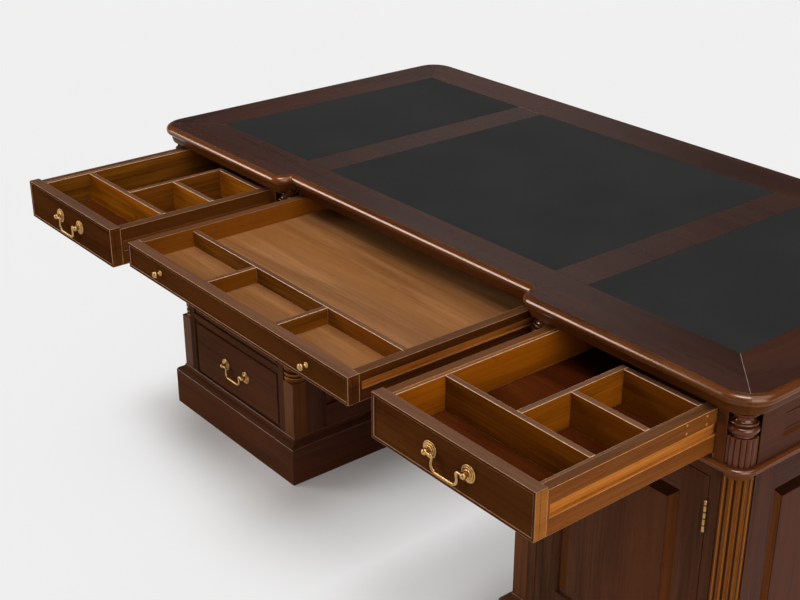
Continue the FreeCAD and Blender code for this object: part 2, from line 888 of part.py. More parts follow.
def make_face_frames():
    """Frame of the drawer stack, of the front cupboard and of the two rear cupboards."""
    foot_rail = ("plinth_height", "stack_bottom")
    head_rail = ("stack_top", "pedestal_top")
    between = [(f"stack_bottom + {count} * pedestal_pitch - pedestal_drawer_rail",
                f"stack_bottom + {count} * pedestal_pitch") for count in (1, 2)]
    stack = face_frame("kneehole_x + corner_notch", [foot_rail, *between, head_rail])
    node("drawer_stack_frame", mirrored(group(*stack), LEFTWARD))

    front = face_frame("kneehole_x + corner_notch", [foot_rail, head_rail])
    mortises = [hinge_mortise(foot) for foot in HINGE_FEET]
    front[0] = cut(front[0], *mortises)
    node("cupboard_frame", *front)

    rear = face_frame("kneehole_x + board", [foot_rail, head_rail])
    rear[0] = cut(rear[0], *mortises)
    node("rear_cupboard_frames", both_sides(mirrored(group(*rear), REARWARD)))


def make_pedestal_inside():
    """Floor of each pedestal and the board that parts its front from its rear."""
    inside = ("kneehole_x + board", "carcase_x - board")
    depth = ("board - carcase_y", "carcase_y - board")
    posts = corner_posts("plinth_height", "pedestal_top")
    floor = cut(box(*inside, *depth, "plinth_height", "stack_bottom"), *posts.values(), CORNER_VOIDS)
    partition = box(*inside, "-board / 2", "board / 2", "stack_bottom", "pedestal_top")
    node("pedestal_boards", both_sides(floor), both_sides(partition))


def pedestal_corners():
    """Corners of the right-hand pedestal's plan with their outward signs."""
    return [("kneehole_x", "-carcase_y", -1, -1), ("carcase_x", "-carcase_y", 1, -1),
            ("carcase_x", "carcase_y", 1, 1), ("kneehole_x", "carcase_y", -1, 1)]


def make_plinths():
    """Four mitred boards round the foot of each pedestal, with a cyma cap against the carcase."""
    out = number("plinth_projection")
    inside = out - number("plinth_board")
    top = number("plinth_height")
    rise = number("plinth_cap")
    quirk = number("edge_quirk")
    face = number("carcase_y")
    start = number("pedestal_mid")
    steps = [
        (inside, 0), (out, 0), (out, top), (out - quirk, top), (out - quirk, top + quirk),
        (out * 0.75, top + rise * 0.3, out * 0.45, top + rise * 0.45),
        (out * 0.2, top + rise * 0.6, out * 0.1, top + rise * 0.9),
        (out * 0.1, top + rise), (0, top + rise), (0, top), (inside, top),
    ]
    profile = section("plinth_profile", steps, lambda out, up: Vector(start, -face - out, up))
    line = [(x, y, 0) for x, y, _, _ in pedestal_corners()]
    spine = outline("plinth_line", [("pedestal_mid", "-carcase_y", 0), *line[1:], line[0]])
    ring = run_moulding(spine, profile, mitred=True)
    sides = mitred(ring, pedestal_corners(), "plinth_board", "-board", "frieze_bottom")
    node("plinths", both_sides(group(*[board for _, board in sides])))


def rounded(solid, keep):
    """A board with the edges that `keep` picks rounded to a bead."""
    doc.recompute()
    bead = doc.addObject("Part::Fillet", "Bead")
    bead.Base = solid
    reach = number("bead_round")
    bead.Edges = [(index, reach, reach) for index, edge in enumerate(solid.Shape.Edges, start=1)
                  if keep(edge.BoundBox)]
    return bead


def make_bead_boards():
    """The bead-edged board over each pedestal, and the beads coped between them over the kneehole."""
    rounding = "axis_inset + bead_projection"
    out = "bead_projection"
    plan = [
        ("pedestal_mid", f"carcase_y + {out}", 0),
        (f"kneehole_x - {out}", f"carcase_y + {out}", out),
        (f"kneehole_x - {out}", f"-carcase_y - {out}", rounding),
        (f"carcase_x + {out}", f"-carcase_y - {out}", rounding),
        (f"carcase_x + {out}", f"carcase_y + {out}", rounding),
    ]
    slab = prism(outline("bead_line", plan), "pedestal_top", "frieze_bottom")
    boards = both_sides(rounded(slab, lambda reach: reach.ZLength < HAIR))
    level = ("-kneehole_x", "kneehole_x", "pedestal_top", "frieze_bottom")
    beads = []
    for y0, y1 in ((f"-recess_y - {out}", "board - recess_y"), ("carcase_y - board", f"carcase_y + {out}")):
        bar = box(*level[:2], y0, y1, *level[2:])
        lengthwise = rounded(bar, lambda reach: reach.YLength + reach.ZLength < HAIR)
        beads.append(cut(lengthwise, boards))
    node("bead_boards", boards, *beads)


def make_frieze():
    """Ends, partitions, rear apron and front rails of the upper carcase."""
    level = ("frieze_bottom", "frieze_top")
    posts = corner_posts(*level)
    panel_rise = ("frieze_panel_margin", "frieze_height - frieze_panel_margin")
    seen = ("panel_end - end_panel_half_length", "panel_end + end_panel_half_length")
    end, end_panels = frieze_board("2 * panel_end", [(*seen, *panel_rise)])
    end = stood(end, "right", "carcase_x", "-panel_end", "frieze_bottom")
    end_panel = stood(end_panels[0], "right", "carcase_x", "-panel_end", "frieze_bottom")
    stile = box("stile_edge", "carcase_x - corner_notch", "-carcase_y", "board - carcase_y", *level)
    end = cut(fuse(end, stile, posts["outer_front"], posts["outer_rear"]), CORNER_VOIDS)
    node("frieze_ends", both_sides(end))

    board = box("partition_x", "partition_x + partition_thickness", "-recess_y", "carcase_y - board", *level)
    post = box("partition_x", "inner_stile_edge", "board - carcase_y", "post_depth - carcase_y", *level)
    recess = box("partition_x - board", "kneehole_x", "-carcase_y", "-recess_y", *level)
    stile = box("kneehole_x + corner_notch", "inner_stile_edge", "-carcase_y", "board - carcase_y", *level)
    node("frieze_partitions", both_sides(cut(fuse(board, post, stile), CORNER_VOIDS, recess)))

    length = "2 * (carcase_x - corner_notch)"
    middle = f"({length}) / 2"
    margin = "frieze_panel_margin"
    openings = [
        (f"{middle} - stile_edge + {margin}", f"{middle} - inner_stile_edge - {margin}", *panel_rise),
        (f"{middle} - kneehole_x + 2 * {margin}", f"{middle} + kneehole_x - 2 * {margin}", *panel_rise),
        (f"{middle} + inner_stile_edge + {margin}", f"{middle} + stile_edge - {margin}", *panel_rise),
    ]
    apron, apron_panels = frieze_board(length, openings)
    corner = ("carcase_x - corner_notch", "carcase_y", "frieze_bottom")
    node("frieze_rear", cut(stood(apron, "rear", *corner), CORNER_VOIDS))
    node("frieze_panels", both_sides(end_panel), *[stood(panel, "rear", *corner) for panel in apron_panels])

    face = ("-recess_y", "board - recess_y")
    span = ("-partition_x", "partition_x")
    side_rail = box("inner_stile_edge", "stile_edge", "-carcase_y", "board - carcase_y",
                    "frieze_top - frieze_rail", "frieze_top")
    foot_rail = box("inner_stile_edge", "stile_edge", "-carcase_y", "board - carcase_y",
                    "frieze_bottom", "frieze_bottom + frieze_foot_rail")
    node("frieze_front_rails",
         box(*span, *face, "frieze_top - centre_top_rail", "frieze_top"),
         box(*span, *face, "frieze_bottom", "centre_bottom - drawer_gap"),
         both_sides(side_rail),
         both_sides(foot_rail))


def runner(x0, x1, y0, y1, groove_foot, groove_height):
    """A batten that fits a drawer's groove, its top just under the groove's roof."""
    top = f"{groove_foot} + {groove_height} - runner_play"
    return box(x0, x1, y0, y1, f"{groove_foot} + 3 * runner_play", top)


def make_runners():
    """Battens that carry the frieze drawers and the stacked drawers."""
    reach = "groove_depth - runner_side_play"
    outer = (f"pedestal_mid + drawer_half - ({reach})", "carcase_x - board")
    frieze_inner = ("partition_x + partition_thickness", f"pedestal_mid - drawer_half + {reach}")
    stack_inner = ("kneehole_x + board", f"pedestal_mid - drawer_half + {reach}")
    front = "post_depth - carcase_y"
    back = "frieze_drawer_length - carcase_y"
    side_foot = "drawer_bottom + groove_lift"
    side = [runner(*span, front, back, side_foot, "groove_height") for span in (outer, frieze_inner)]
    centre = runner(f"centre_half - ({reach})", "partition_x",
                    "front_thickness + groove_stop + drawer_gap - recess_y", back,
                    "centre_bottom + centre_groove_lift", "centre_groove_height")
    stack = []
    for count in range(3):
        foot = f"stack_bottom + drawer_gap + {count} * pedestal_pitch + pedestal_groove_lift"
        stack += [runner(*span, front, "-board / 2", foot, "groove_height")
                  for span in (outer, stack_inner)]
    node("drawer_runners", both_sides(group(*side, centre)), mirrored(group(*stack), LEFTWARD))


make_pedestal_sides()
make_face_frames()
make_pedestal_inside()
make_plinths()
make_bead_boards()
make_frieze()
make_runners()


# ---------------------------------------------------------------- drawers

def grooved_side(half, thickness, length, height, lift, groove):
    """The left side of a drawer with its runner groove, stopped in front and open at the back."""
    side = box(f"-({half})", f"{thickness} - ({half})", "front_thickness", length, 0, height)
    slot = box(f"-({half})", f"groove_depth - ({half})", "front_thickness + groove_stop", length,
               lift, f"{lift} + {groove}")
    return cut(side, slot)


def beaded_front(half, height):
    """A front with its field let in behind a raised bead."""
    front = box(f"-({half})", half, 0, "front_thickness", 0, height)
    field = box(f"cockbead_width - ({half})", f"{half} - cockbead_width", "-board", "cockbead_depth",
                "cockbead_width", f"{height} - cockbead_width")
    return cut(front, field)


def drawer_back(half, thickness, length, height):
    return box(f"{thickness} - ({half})", f"{half} - {thickness}", f"{length} - back_thickness", length,
               0, height)


def drawer_bottom(half, thickness, length):
    return box(f"{thickness} - ({half})", f"{half} - {thickness}", "front_thickness",
               f"{length} - back_thickness", "bottom_lift", "bottom_lift + bottom_thickness")


def side_drawer_dividers(height):
    """Linings along both sides and the walls that part a side drawer."""
    floor = "bottom_lift + bottom_thickness"
    rise = (floor, f"{height} - lining_drop")
    wall = "divider_thickness / 2"
    inner = "drawer_half - side_thickness - lining_thickness"
    end = "frieze_drawer_length - back_thickness"
    lining = box(inner, "drawer_half - side_thickness", "front_thickness", end, *rise)
    cross = box(f"-({inner})", inner, f"first_divider - {wall}", f"first_divider + {wall}", *rise)
    spine = box(f"-({wall})", wall, f"first_divider + {wall}", f"third_divider + {wall}", *rise)
    cells = [box(wall, inner, f"{place} - {wall}", f"{place} + {wall}", *rise)
             for place in ("second_divider", "third_divider")]
    return [both_sides(lining), cross, spine, *cells]


def handle_post():
    """A rosette with a stem and a ball, turned about Z and standing on Z = 0."""
    rose = number("rosette_radius")
    reach = number("post_length")
    ball_radius = number("post_ball_radius")
    stem = ball_radius * 0.6
    neck = reach - math.sqrt(ball_radius ** 2 - stem ** 2)
    steps = [
        (0, 0), (rose, 0), (rose, neck * 0.2), (rose * 0.97, neck * 0.37, rose * 0.85, neck * 0.4),
        (rose * 0.8, neck * 0.4), (rose * 0.78, neck * 0.6, rose * 0.68, neck * 0.64),
        (rose * 0.55, neck * 0.64), (rose * 0.52, neck * 0.8, rose * 0.35, neck * 0.88),
        (stem, neck * 0.93), (stem, neck), (ball_radius, reach, 0, reach + ball_radius),
    ]
    return lathe("handle_post", steps)


def make_handle_parts():
    """A pair of posts and the bail between them, with the pivot line on the X axis and facing -Y."""
    half = "handle_width / 2"
    post = group(handle_post())
    post.Placement = Placement(Vector(), UPRIGHT)
    bore = rod("bail_radius + bail_play", "2 * post_ball_radius", f"{half} + 2 * bail_play",
               "-post_length", 0, Vector(-1, 0, 0))
    right = cut(moved(post, half), bore)
    path = outline("bail_line", [
        (half, 0, 0),
        (f"{half} - bail_neck", 0, "bail_neck_bend"),
        (f"{half} - bail_neck + bail_splay", "-bail_drop", "bail_foot_bend"),
        (f"bail_neck - bail_splay - {half}", "-bail_drop", "bail_foot_bend"),
        (f"bail_neck - {half}", 0, "bail_neck_bend"),
        (f"-({half})", 0, 0),
    ], closed=False)
    ring = doc.addObject("Part::Feature", "bail_section")
    circle = Part.makeCircle(number("bail_radius"), Vector(number(half), 0, 0), Vector(1, 0, 0))
    ring.Shape = Part.Wire([circle])
    bail = group(run_moulding(path, ring, mitred=False))
    bail.Placement = Placement(Vector(), UPRIGHT)
    return both_sides(right), moved(bail, 0, "-post_length", 0)


HANDLE_POSTS, BAIL = make_handle_parts()


def turned_knob(radius, length):
    """A small turned knob on a collar, facing -Y."""
    wide, reach = number(radius), number(length)
    neck = wide * 0.45
    steps = [
        (0, 0), (wide * 0.85, 0), (wide * 0.85, reach * 0.08), (neck, reach * 0.2), (neck, reach * 0.42),
        (wide * 0.8, reach * 0.5), (wide, reach * 0.7, wide * 0.75, reach * 0.92), (0, reach),
    ]
    knob = group(lathe("knob", steps))
    knob.Placement = Placement(Vector(), UPRIGHT)
    return knob


def make_side_drawers():
    """The two side frieze drawers, both divided the same way."""
    half = "drawer_half"
    height = "drawer_top - drawer_bottom"
    length = "frieze_drawer_length"
    low = f"{height} - side_drop"
    side = grooved_side(half, "side_thickness", length, low, "groove_lift", "groove_height")
    pieces = {
        "front": [beaded_front(half, height)],
        "box": [both_sides(side), drawer_back(half, "side_thickness", length, low)],
        "bottom": [drawer_bottom(half, "side_thickness", length)],
        "dividers": side_drawer_dividers(height),
        "handle_posts": [moved(HANDLE_POSTS, 0, "cockbead_depth", f"({height}) / 2 + handle_rise")],
        "bail": [moved(BAIL, 0, "cockbead_depth", f"({height}) / 2 + handle_rise")],
    }
    for name, x in (("left", "-pedestal_mid"), ("right", "pedestal_mid")):
        for piece, solids in pieces.items():
            whole = node(f"{name}_drawer_{piece}", *solids)
            place(whole, x, "-carcase_y - side_drawer_open", "drawer_bottom")


def make_centre_drawer():
    """The wide shallow drawer over the kneehole, with a pen tray in front."""
    half = "centre_half"
    height = "centre_drawer_height"
    length = "frieze_drawer_length"
    thickness = "centre_side_thickness"
    side = grooved_side(half, thickness, length, height, "centre_groove_lift", "centre_groove_height")
    rise = ("bottom_lift + bottom_thickness", f"{height} - lining_drop")
    wall = "divider_thickness / 2"
    inner = f"{half} - {thickness}"
    cross = box(f"-({inner})", inner, f"tray_divider - {wall}", f"tray_divider + {wall}", *rise)
    bay = box(f"tray_bay - {wall}", f"tray_bay + {wall}", "front_thickness", f"tray_divider - {wall}", *rise)
    knob = moved(turned_knob("knob_radius", "knob_length"), "centre_knob_width / 2", "cockbead_depth",
                 f"{height} / 2")
    pieces = {
        "front": [beaded_front(half, height)],
        "box": [both_sides(side), drawer_back(half, thickness, length, height)],
        "bottom": [drawer_bottom(half, thickness, length)],
        "dividers": [cross, both_sides(bay)],
        "knobs": [both_sides(knob)],
    }
    for piece, solids in pieces.items():
        whole = node(f"centre_drawer_{piece}", *solids)
        place(whole, 0, "-recess_y - centre_drawer_open", "centre_bottom")


def make_stacked_drawers():
    """Three equal drawers in the left-hand pedestal, with raised fields."""
    half = "drawer_half"
    height = "pedestal_front_height"
    length = "pedestal_drawer_length"
    thickness = "pedestal_side_thickness"
    low = f"{height} - pedestal_side_drop"
    panel = box(f"-({half})", half, "field_height", "front_thickness", 0, height)
    field = box(f"field_margin - ({half})", f"{half} - field_margin", 0, "field_height",
                "field_margin", f"{height} - field_margin")
    side = grooved_side(half, thickness, length, low, "pedestal_groove_lift", "groove_height")
    wood = [fuse(panel, field), both_sides(side), drawer_back(half, thickness, length, low),
            drawer_bottom(half, thickness, length)]
    pieces = {
        "": wood,
        "_handle_posts": [moved(HANDLE_POSTS, 0, 0, f"{height} / 2 + handle_rise")],
        "_bail": [moved(BAIL, 0, 0, f"{height} / 2 + handle_rise")],
    }
    for count, name in enumerate(("bottom", "middle", "top")):
        for piece, solids in pieces.items():
            whole = node(f"{name}_drawer{piece}", *solids)
            place(whole, "-pedestal_mid", "-carcase_y",
                  f"stack_bottom + drawer_gap + {count} * pedestal_pitch")


make_side_drawers()
make_centre_drawer()
make_stacked_drawers()


# ---------------------------------------------------------------- doors and hinges

def knuckle(first, last, foot, bored):
    """Part of a hinge barrel between two thirds of its length."""
    third = "hinge_length / 3"
    z0 = f"{foot} + {first} * {third} + hinge_knuckle_gap"
    length = f"{last - first} * {third} - 2 * hinge_knuckle_gap"
    barrel = rod("hinge_barrel_radius", length, "hinge_x", "-hinge_y", z0)
    if not bored:
        return barrel
    bore = rod("hinge_barrel_radius / 2 + hinge_play", "2 * hinge_length", "hinge_x", "-hinge_y",
               f"{foot} - hinge_length / 2")
    return cut(barrel, bore)


def hinge_leaf(x0, x1, foot, thirds, bored):
    """A hinge leaf in its mortise with the knuckles that it carries."""
    third = "hinge_length / 3"
    behind = "hinge_leaf_sink / 2 - carcase_y"
    plate = box(x0, x1, behind, "hinge_leaf_depth - carcase_y", foot, f"{foot} + hinge_length")
    pieces = [plate]
    for first, last in thirds:
        tab = box(x0, x1, "hinge_barrel_radius / 2 - hinge_y + hinge_play", behind,
                  f"{foot} + {first} * {third} + hinge_knuckle_gap",
                  f"{foot} + {last} * {third} - hinge_knuckle_gap")
        pieces += [tab, knuckle(first, last, foot, bored)]
    return fuse(*pieces)


def hinge_pin(foot):
    """The pin through a hinge with a ball finial at each end."""
    head = f"{foot} + hinge_length"
    return [
        rod("hinge_barrel_radius / 2", "hinge_length", "hinge_x", "-hinge_y", foot),
        ball("hinge_finial_radius", "hinge_x", "-hinge_y", f"{head} + hinge_finial_radius / 2"),
        ball("hinge_finial_radius", "hinge_x", "-hinge_y", f"{foot} - hinge_finial_radius / 2"),
    ]


def make_doors():
    """The front cupboard door and its two fellows behind, each hung on two butt hinges."""
    width = "2 * drawer_half"
    opening = ("door_stile", f"{width} - door_stile", "door_bottom_rail", "door_height - door_top_rail")
    frame, panel = framed(width, "door_height", "door_thickness", opening)
    corner = ("pedestal_mid - drawer_half", "-carcase_y", "door_bottom")
    door_edge = "pedestal_mid + drawer_half"
    leaf_depth = ("-carcase_y", "hinge_leaf_depth - carcase_y")
    mortises = [box(f"{door_edge} - hinge_leaf_sink", door_edge, *leaf_depth, foot, f"{foot} + hinge_length")
                for foot in HINGE_FEET]
    frame = cut(stood(frame, "front", *corner), *mortises)
    panel = stood(panel, "front", *corner)
    knob_x = "pedestal_mid - drawer_half + door_knob_inset"
    knob = moved(turned_knob("door_knob_radius", "door_knob_length"),
                 knob_x, "-carcase_y", "door_bottom + door_height / 2")
    door_leaf = (f"{door_edge} - hinge_leaf_sink", f"{door_edge} - hinge_leaf_sink + hinge_leaf")
    fixed_leaf = ("stile_edge + hinge_leaf_sink - hinge_leaf", "stile_edge + hinge_leaf_sink")
    moving = [hinge_leaf(*door_leaf, foot, [(1, 2)], True) for foot in HINGE_FEET]
    fixed = [fuse(hinge_leaf(*fixed_leaf, foot, [(0, 1), (2, 3)], False), *hinge_pin(foot))
             for foot in HINGE_FEET]
    pieces = {"frame": [frame], "panel": [panel], "fittings": [knob, *moving]}
    for piece, solids in pieces.items():
        whole = node(f"cupboard_door_{piece}", *solids)
        right = mirrored(whole, REARWARD)
        node(f"rear_right_door_{piece}", right)
        node(f"rear_left_door_{piece}", mirrored(right, LEFTWARD))
    front_hinges = group(*fixed)
    rear_hinges = mirrored(front_hinges, REARWARD)
    node("hinge_leaves", front_hinges, both_sides(rear_hinges))


make_doors()


# ---------------------------------------------------------------- check and export

def export_nodes():
    """Recompute, check every object, and write one STEP file for each sub-part."""
    doc.recompute()
    failed = [thing.Name for thing in doc.Objects if "Invalid" in thing.State or "Error" in thing.State]
    if failed:
        raise RuntimeError("failed objects: " + ", ".join(failed))
    for label, thing in NODES.items():
        if thing.Shape.isNull() or not thing.Shape.isValid() or not thing.Shape.Solids:
            raise RuntimeError("bad shape: " + label)
    os.makedirs("parts", exist_ok=True)
    for label, thing in NODES.items():
        thing.Shape.exportStep(f"parts/{label}.step")
    print(len(NODES), "sub-parts written")


export_nodes()
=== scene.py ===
"""The finish of a partners desk: polished show wood, plain drawer wood, leather and brass.

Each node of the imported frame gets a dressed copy, cut where its finish or its grain changes."""

import json
import math

import bmesh
import bpy
from mathutils import Matrix, Vector

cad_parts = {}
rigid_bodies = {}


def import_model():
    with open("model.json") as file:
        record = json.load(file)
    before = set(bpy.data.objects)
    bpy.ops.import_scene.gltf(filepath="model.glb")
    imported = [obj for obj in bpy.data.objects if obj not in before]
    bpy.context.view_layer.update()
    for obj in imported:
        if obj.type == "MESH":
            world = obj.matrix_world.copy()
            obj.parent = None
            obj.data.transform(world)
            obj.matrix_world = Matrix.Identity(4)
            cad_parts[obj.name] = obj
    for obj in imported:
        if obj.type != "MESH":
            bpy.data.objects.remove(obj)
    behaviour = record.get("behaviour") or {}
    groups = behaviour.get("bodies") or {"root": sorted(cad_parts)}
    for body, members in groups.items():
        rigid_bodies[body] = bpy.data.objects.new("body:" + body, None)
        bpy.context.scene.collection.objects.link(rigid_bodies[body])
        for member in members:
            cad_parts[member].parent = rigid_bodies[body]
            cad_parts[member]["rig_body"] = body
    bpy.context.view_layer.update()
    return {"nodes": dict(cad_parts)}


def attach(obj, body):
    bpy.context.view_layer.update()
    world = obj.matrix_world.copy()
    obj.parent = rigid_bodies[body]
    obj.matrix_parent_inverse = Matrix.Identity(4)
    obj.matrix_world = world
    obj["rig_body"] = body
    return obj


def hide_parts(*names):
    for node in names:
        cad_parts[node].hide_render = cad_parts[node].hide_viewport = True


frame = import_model()

X, Y, Z = 0, 1, 2

# ---------------------------------------------------------------- camera, room and floor

CAMERA_PLACE = (1.9513, -1.9872, 1.7939)
CAMERA_TURN = (math.radians(90 - 25.15), 0, math.radians(51.07))
CAMERA_LENS = 60.95
CAMERA_SENSOR = 36
CAMERA_NEAREST = 0.05

# Soft light panels far round the desk: direction, degrees of full and of no light, brightness, colour.
LIGHT_PANELS = [
    ((0.30, 0.05, 0.95), 22, 40, 1.35, (1.0, 1.0, 1.0)),
    ((0.12, -0.25, 0.96), 8, 18, 7.50, (1.0, 0.99, 0.98)),
    ((0.90, -0.25, 0.35), 14, 32, 2.40, (1.0, 0.95, 0.88)),
    ((-0.70, -0.63, 0.30), 7, 18, 7.50, (1.0, 0.97, 0.95)),
    ((-0.66, 0.62, 0.42), 3, 10, 0.40, (1.0, 0.97, 0.95)),
]
# The backdrop is pale up to the first height over the horizon and gone at the second, in degrees.
BACKDROP_TONE = 0.80
BACKDROP_HEIGHT = (1, 5)
ROOM_BRIGHTNESS = 0.045

# The floor glows only where it is seen or mirrored: a little at the desk's foot, fully a short way off, and
# more far out and to the left.
FLOOR_SIZE = 60
FLOOR_TONE = 0.86
FLOOR_MOTTLE = 0.003
FLOOR_GLOW = 0.46
FOOT_SHARE = 0.2
GLOW_REACH = 0.22
FAR_GLOW = 0.40
FAR_REACH = (0.20, 0.45)
LEFT_LIGHT = 0.25
PLINTH_HALF = (0.8985, 0.4485)
KNEEHOLE_HALF = 0.36

POLISH_TINT = (1.0, 0.72, 0.60)
UPWARD_SHINE_SLOPE = (0.05, 0.40)


def make_camera():
    """The camera, high in front of the desk's right end, and plain colours."""
    data = bpy.data.cameras.new("camera")
    data.lens = CAMERA_LENS
    data.sensor_width = CAMERA_SENSOR
    data.clip_start = CAMERA_NEAREST
    camera = bpy.data.objects.new("camera", data)
    camera.location = CAMERA_PLACE
    camera.rotation_euler = CAMERA_TURN
    bpy.context.scene.collection.objects.link(camera)
    bpy.context.scene.camera = camera
    bpy.context.scene.view_settings.view_transform = "Standard"


# ---------------------------------------------------------------- node helpers

def plug(tree, socket, value):
    """Feed a socket from an output, or set it."""
    if isinstance(value, bpy.types.NodeSocket):
        tree.links.new(value, socket)
    elif socket.type == "RGBA" and len(value) == 3:
        socket.default_value = (*value, 1)
    else:
        socket.default_value = value


def add(tree, kind, **inputs):
    """A new node; a keyword names an input (spaces as _) and gives its value or the output that feeds it."""
    node = tree.nodes.new("ShaderNode" + kind)
    for key, value in inputs.items():
        plug(tree, node.inputs[key.replace("_", " ")], value)
    return node


def maths(tree, operation, *values):
    """The result of a sum on numbers."""
    node = tree.nodes.new("ShaderNodeMath")
    node.operation = operation
    for socket, value in zip(node.inputs, values):
        plug(tree, socket, value)
    return node.outputs[0]


def vectors(tree, operation, *values, out=0, **inputs):
    """The result of a sum on vectors; `out` is 1 where the result is a number."""
    node = tree.nodes.new("ShaderNodeVectorMath")
    node.operation = operation
    for socket, value in zip(node.inputs, values):
        plug(tree, socket, value)
    for key, value in inputs.items():
        plug(tree, node.inputs[key], value)
    return node.outputs[out]


def rise(tree, value, start, end, low=0.0, high=1.0):
    """A smooth step from `low` to `high` while the value goes from `start` to `end`."""
    node = add(tree, "MapRange")
    node.interpolation_type = "SMOOTHSTEP"
    for name, setting in (("Value", value), ("From Min", start), ("From Max", end), ("To Min", low),
                          ("To Max", high)):
        plug(tree, node.inputs[name], setting)
    return node.outputs["Result"]


def blend(tree, share, first, second):
    """Two colours mixed; a share of 1 is all the second."""
    node = tree.nodes.new("ShaderNodeMix")
    node.data_type = "RGBA"
    plug(tree, node.inputs[0], share)
    plug(tree, node.inputs[6], first)
    plug(tree, node.inputs[7], second)
    return node.outputs[2]


def new_group(name, inputs, outputs):
    """An empty node group with its sockets as (name, type) and its entry and exit nodes."""
    tree = bpy.data.node_groups.new(name, "ShaderNodeTree")
    for side, sockets in (("INPUT", inputs), ("OUTPUT", outputs)):
        for label, kind in sockets:
            tree.interface.new_socket(label, in_out=side, socket_type="NodeSocket" + kind)
    return tree, tree.nodes.new("NodeGroupInput"), tree.nodes.new("NodeGroupOutput")


def new_material(name):
    """An empty material and its node tree."""
    material = bpy.data.materials.new(name)
    material.use_nodes = True
    material.node_tree.nodes.clear()
    return material, material.node_tree


def new_piece(name, shape):
    """A bmesh made an object of the scene."""
    mesh = bpy.data.meshes.new(name)
    shape.to_mesh(mesh)
    shape.free()
    piece = bpy.data.objects.new(name, mesh)
    bpy.context.scene.collection.objects.link(piece)
    return piece


def polish(tree, shine):
    """One shine everywhere, or a pair for hanging and upright faces and for upper faces; the shine grows as a
    face looks up, keeping the pale floor's reflection off upright faces and highlights on upper ones.
    """
    if isinstance(shine, float):
        return shine
    height = add(tree, "SeparateXYZ", Vector=add(tree, "NewGeometry").outputs["Normal"]).outputs["Z"]
    return rise(tree, height, *UPWARD_SHINE_SLOPE, *shine)


def surface(tree, colour, roughness, bump=None, depth=0.0, tint=(1.0, 1.0, 1.0), **sockets):
    """The shader of a material and its output."""
    shader = add(tree, "BsdfPrincipled", Base_Color=colour, Roughness=roughness, Specular_Tint=tint,
                 **sockets)
    if bump is not None:
        bumps = add(tree, "Bump", Height=bump, Distance=depth, Strength=1.0)
        tree.links.new(bumps.outputs["Normal"], shader.inputs["Normal"])
    out = add(tree, "OutputMaterial")
    tree.links.new(shader.outputs[0], out.inputs["Surface"])


def make_room():
    """A dim room with soft light panels round the desk."""
    world = bpy.data.worlds.new("room")
    bpy.context.scene.world = world
    world.use_nodes = True
    tree = world.node_tree
    tree.nodes.clear()
    way = add(tree, "TexCoord").outputs["Generated"]
    level = add(tree, "SeparateXYZ", Vector=way).outputs["Z"]
    pale_to, gone_from = [math.sin(math.radians(height)) for height in BACKDROP_HEIGHT]
    pale = rise(tree, level, gone_from, pale_to, 0.0, BACKDROP_TONE)
    light = vectors(tree, "ADD", (ROOM_BRIGHTNESS,) * 3, vectors(tree, "SCALE", (1.0, 1.0, 1.0), Scale=pale))
    for towards, full, gone, brightness, colour in LIGHT_PANELS:
        near = vectors(tree, "DOT_PRODUCT", way, tuple(Vector(towards).normalized()), out=1)
        share = rise(tree, near, math.cos(math.radians(gone)), math.cos(math.radians(full)), 0.0, brightness)
        light = vectors(tree, "ADD", light, vectors(tree, "SCALE", colour, Scale=share))
    background = add(tree, "Background", Color=light, Strength=1.0)
    out = add(tree, "OutputWorld")
    tree.links.new(background.outputs[0], out.inputs["Surface"])


def make_floor_paper():
    """Pale paper that takes the desk's shadow and reads as a lit backdrop away from it."""
    material, tree = new_material("floor_paper")
    place = add(tree, "TexCoord").outputs["Object"]
    tone = add(tree, "TexNoise", Vector=place, Scale=1.5, Detail=2.0).outputs["Fac"]
    tone = rise(tree, tone, 0.2, 0.8, FLOOR_TONE - FLOOR_MOTTLE, FLOOR_TONE + FLOOR_MOTTLE)
    grey = add(tree, "CombineColor", Red=tone, Green=tone, Blue=tone).outputs[0]
    paper = add(tree, "BsdfDiffuse", Color=grey)
    glow = add(tree, "Emission", Color=grey, Strength=1.0)
    across = [maths(tree, "ABSOLUTE", add(tree, "SeparateXYZ", Vector=place).outputs[axis]) for axis in "XY"]
    beyond = [maths(tree, "MAXIMUM", maths(tree, "SUBTRACT", part, half), 0.0)
              for part, half in zip(across, PLINTH_HALF)]
    inside = maths(tree, "MAXIMUM", maths(tree, "SUBTRACT", KNEEHOLE_HALF, across[0]), 0.0)
    level = maths(tree, "MAXIMUM", beyond[0], inside)
    clear = vectors(tree, "LENGTH", add(tree, "CombineXYZ", X=level, Y=beyond[1], Z=0.0).outputs[0], out=1)
    seen = add(tree, "LightPath").outputs
    eye = maths(tree, "MAXIMUM", maths(tree, "MAXIMUM", seen["Is Camera Ray"], seen["Is Glossy Ray"]),
                seen["Is Transmission Ray"])
    # Painted light and shade on the floor: the glow is weakest at the pedestals' foot, adding painted shade
    # to the real shadow there, and strongest far off and to the left, a painted pool of light.
    leftward = maths(tree, "MULTIPLY", add(tree, "SeparateXYZ", Vector=place).outputs["X"], -LEFT_LIGHT)
    far = maths(tree, "ADD", clear, maths(tree, "MAXIMUM", leftward, 0.0))
    near_glow = rise(tree, clear, 0.0, GLOW_REACH, FLOOR_GLOW * FOOT_SHARE, FLOOR_GLOW)
    far_glow = rise(tree, far, *FAR_REACH, 0.0, FAR_GLOW)
    mixed = add(tree, "MixShader", Fac=maths(tree, "MULTIPLY", eye, maths(tree, "ADD", near_glow, far_glow)))
    tree.links.new(paper.outputs[0], mixed.inputs[1])
    tree.links.new(glow.outputs[0], mixed.inputs[2])
    tree.links.new(mixed.outputs[0], add(tree, "OutputMaterial").inputs["Surface"])
    return material


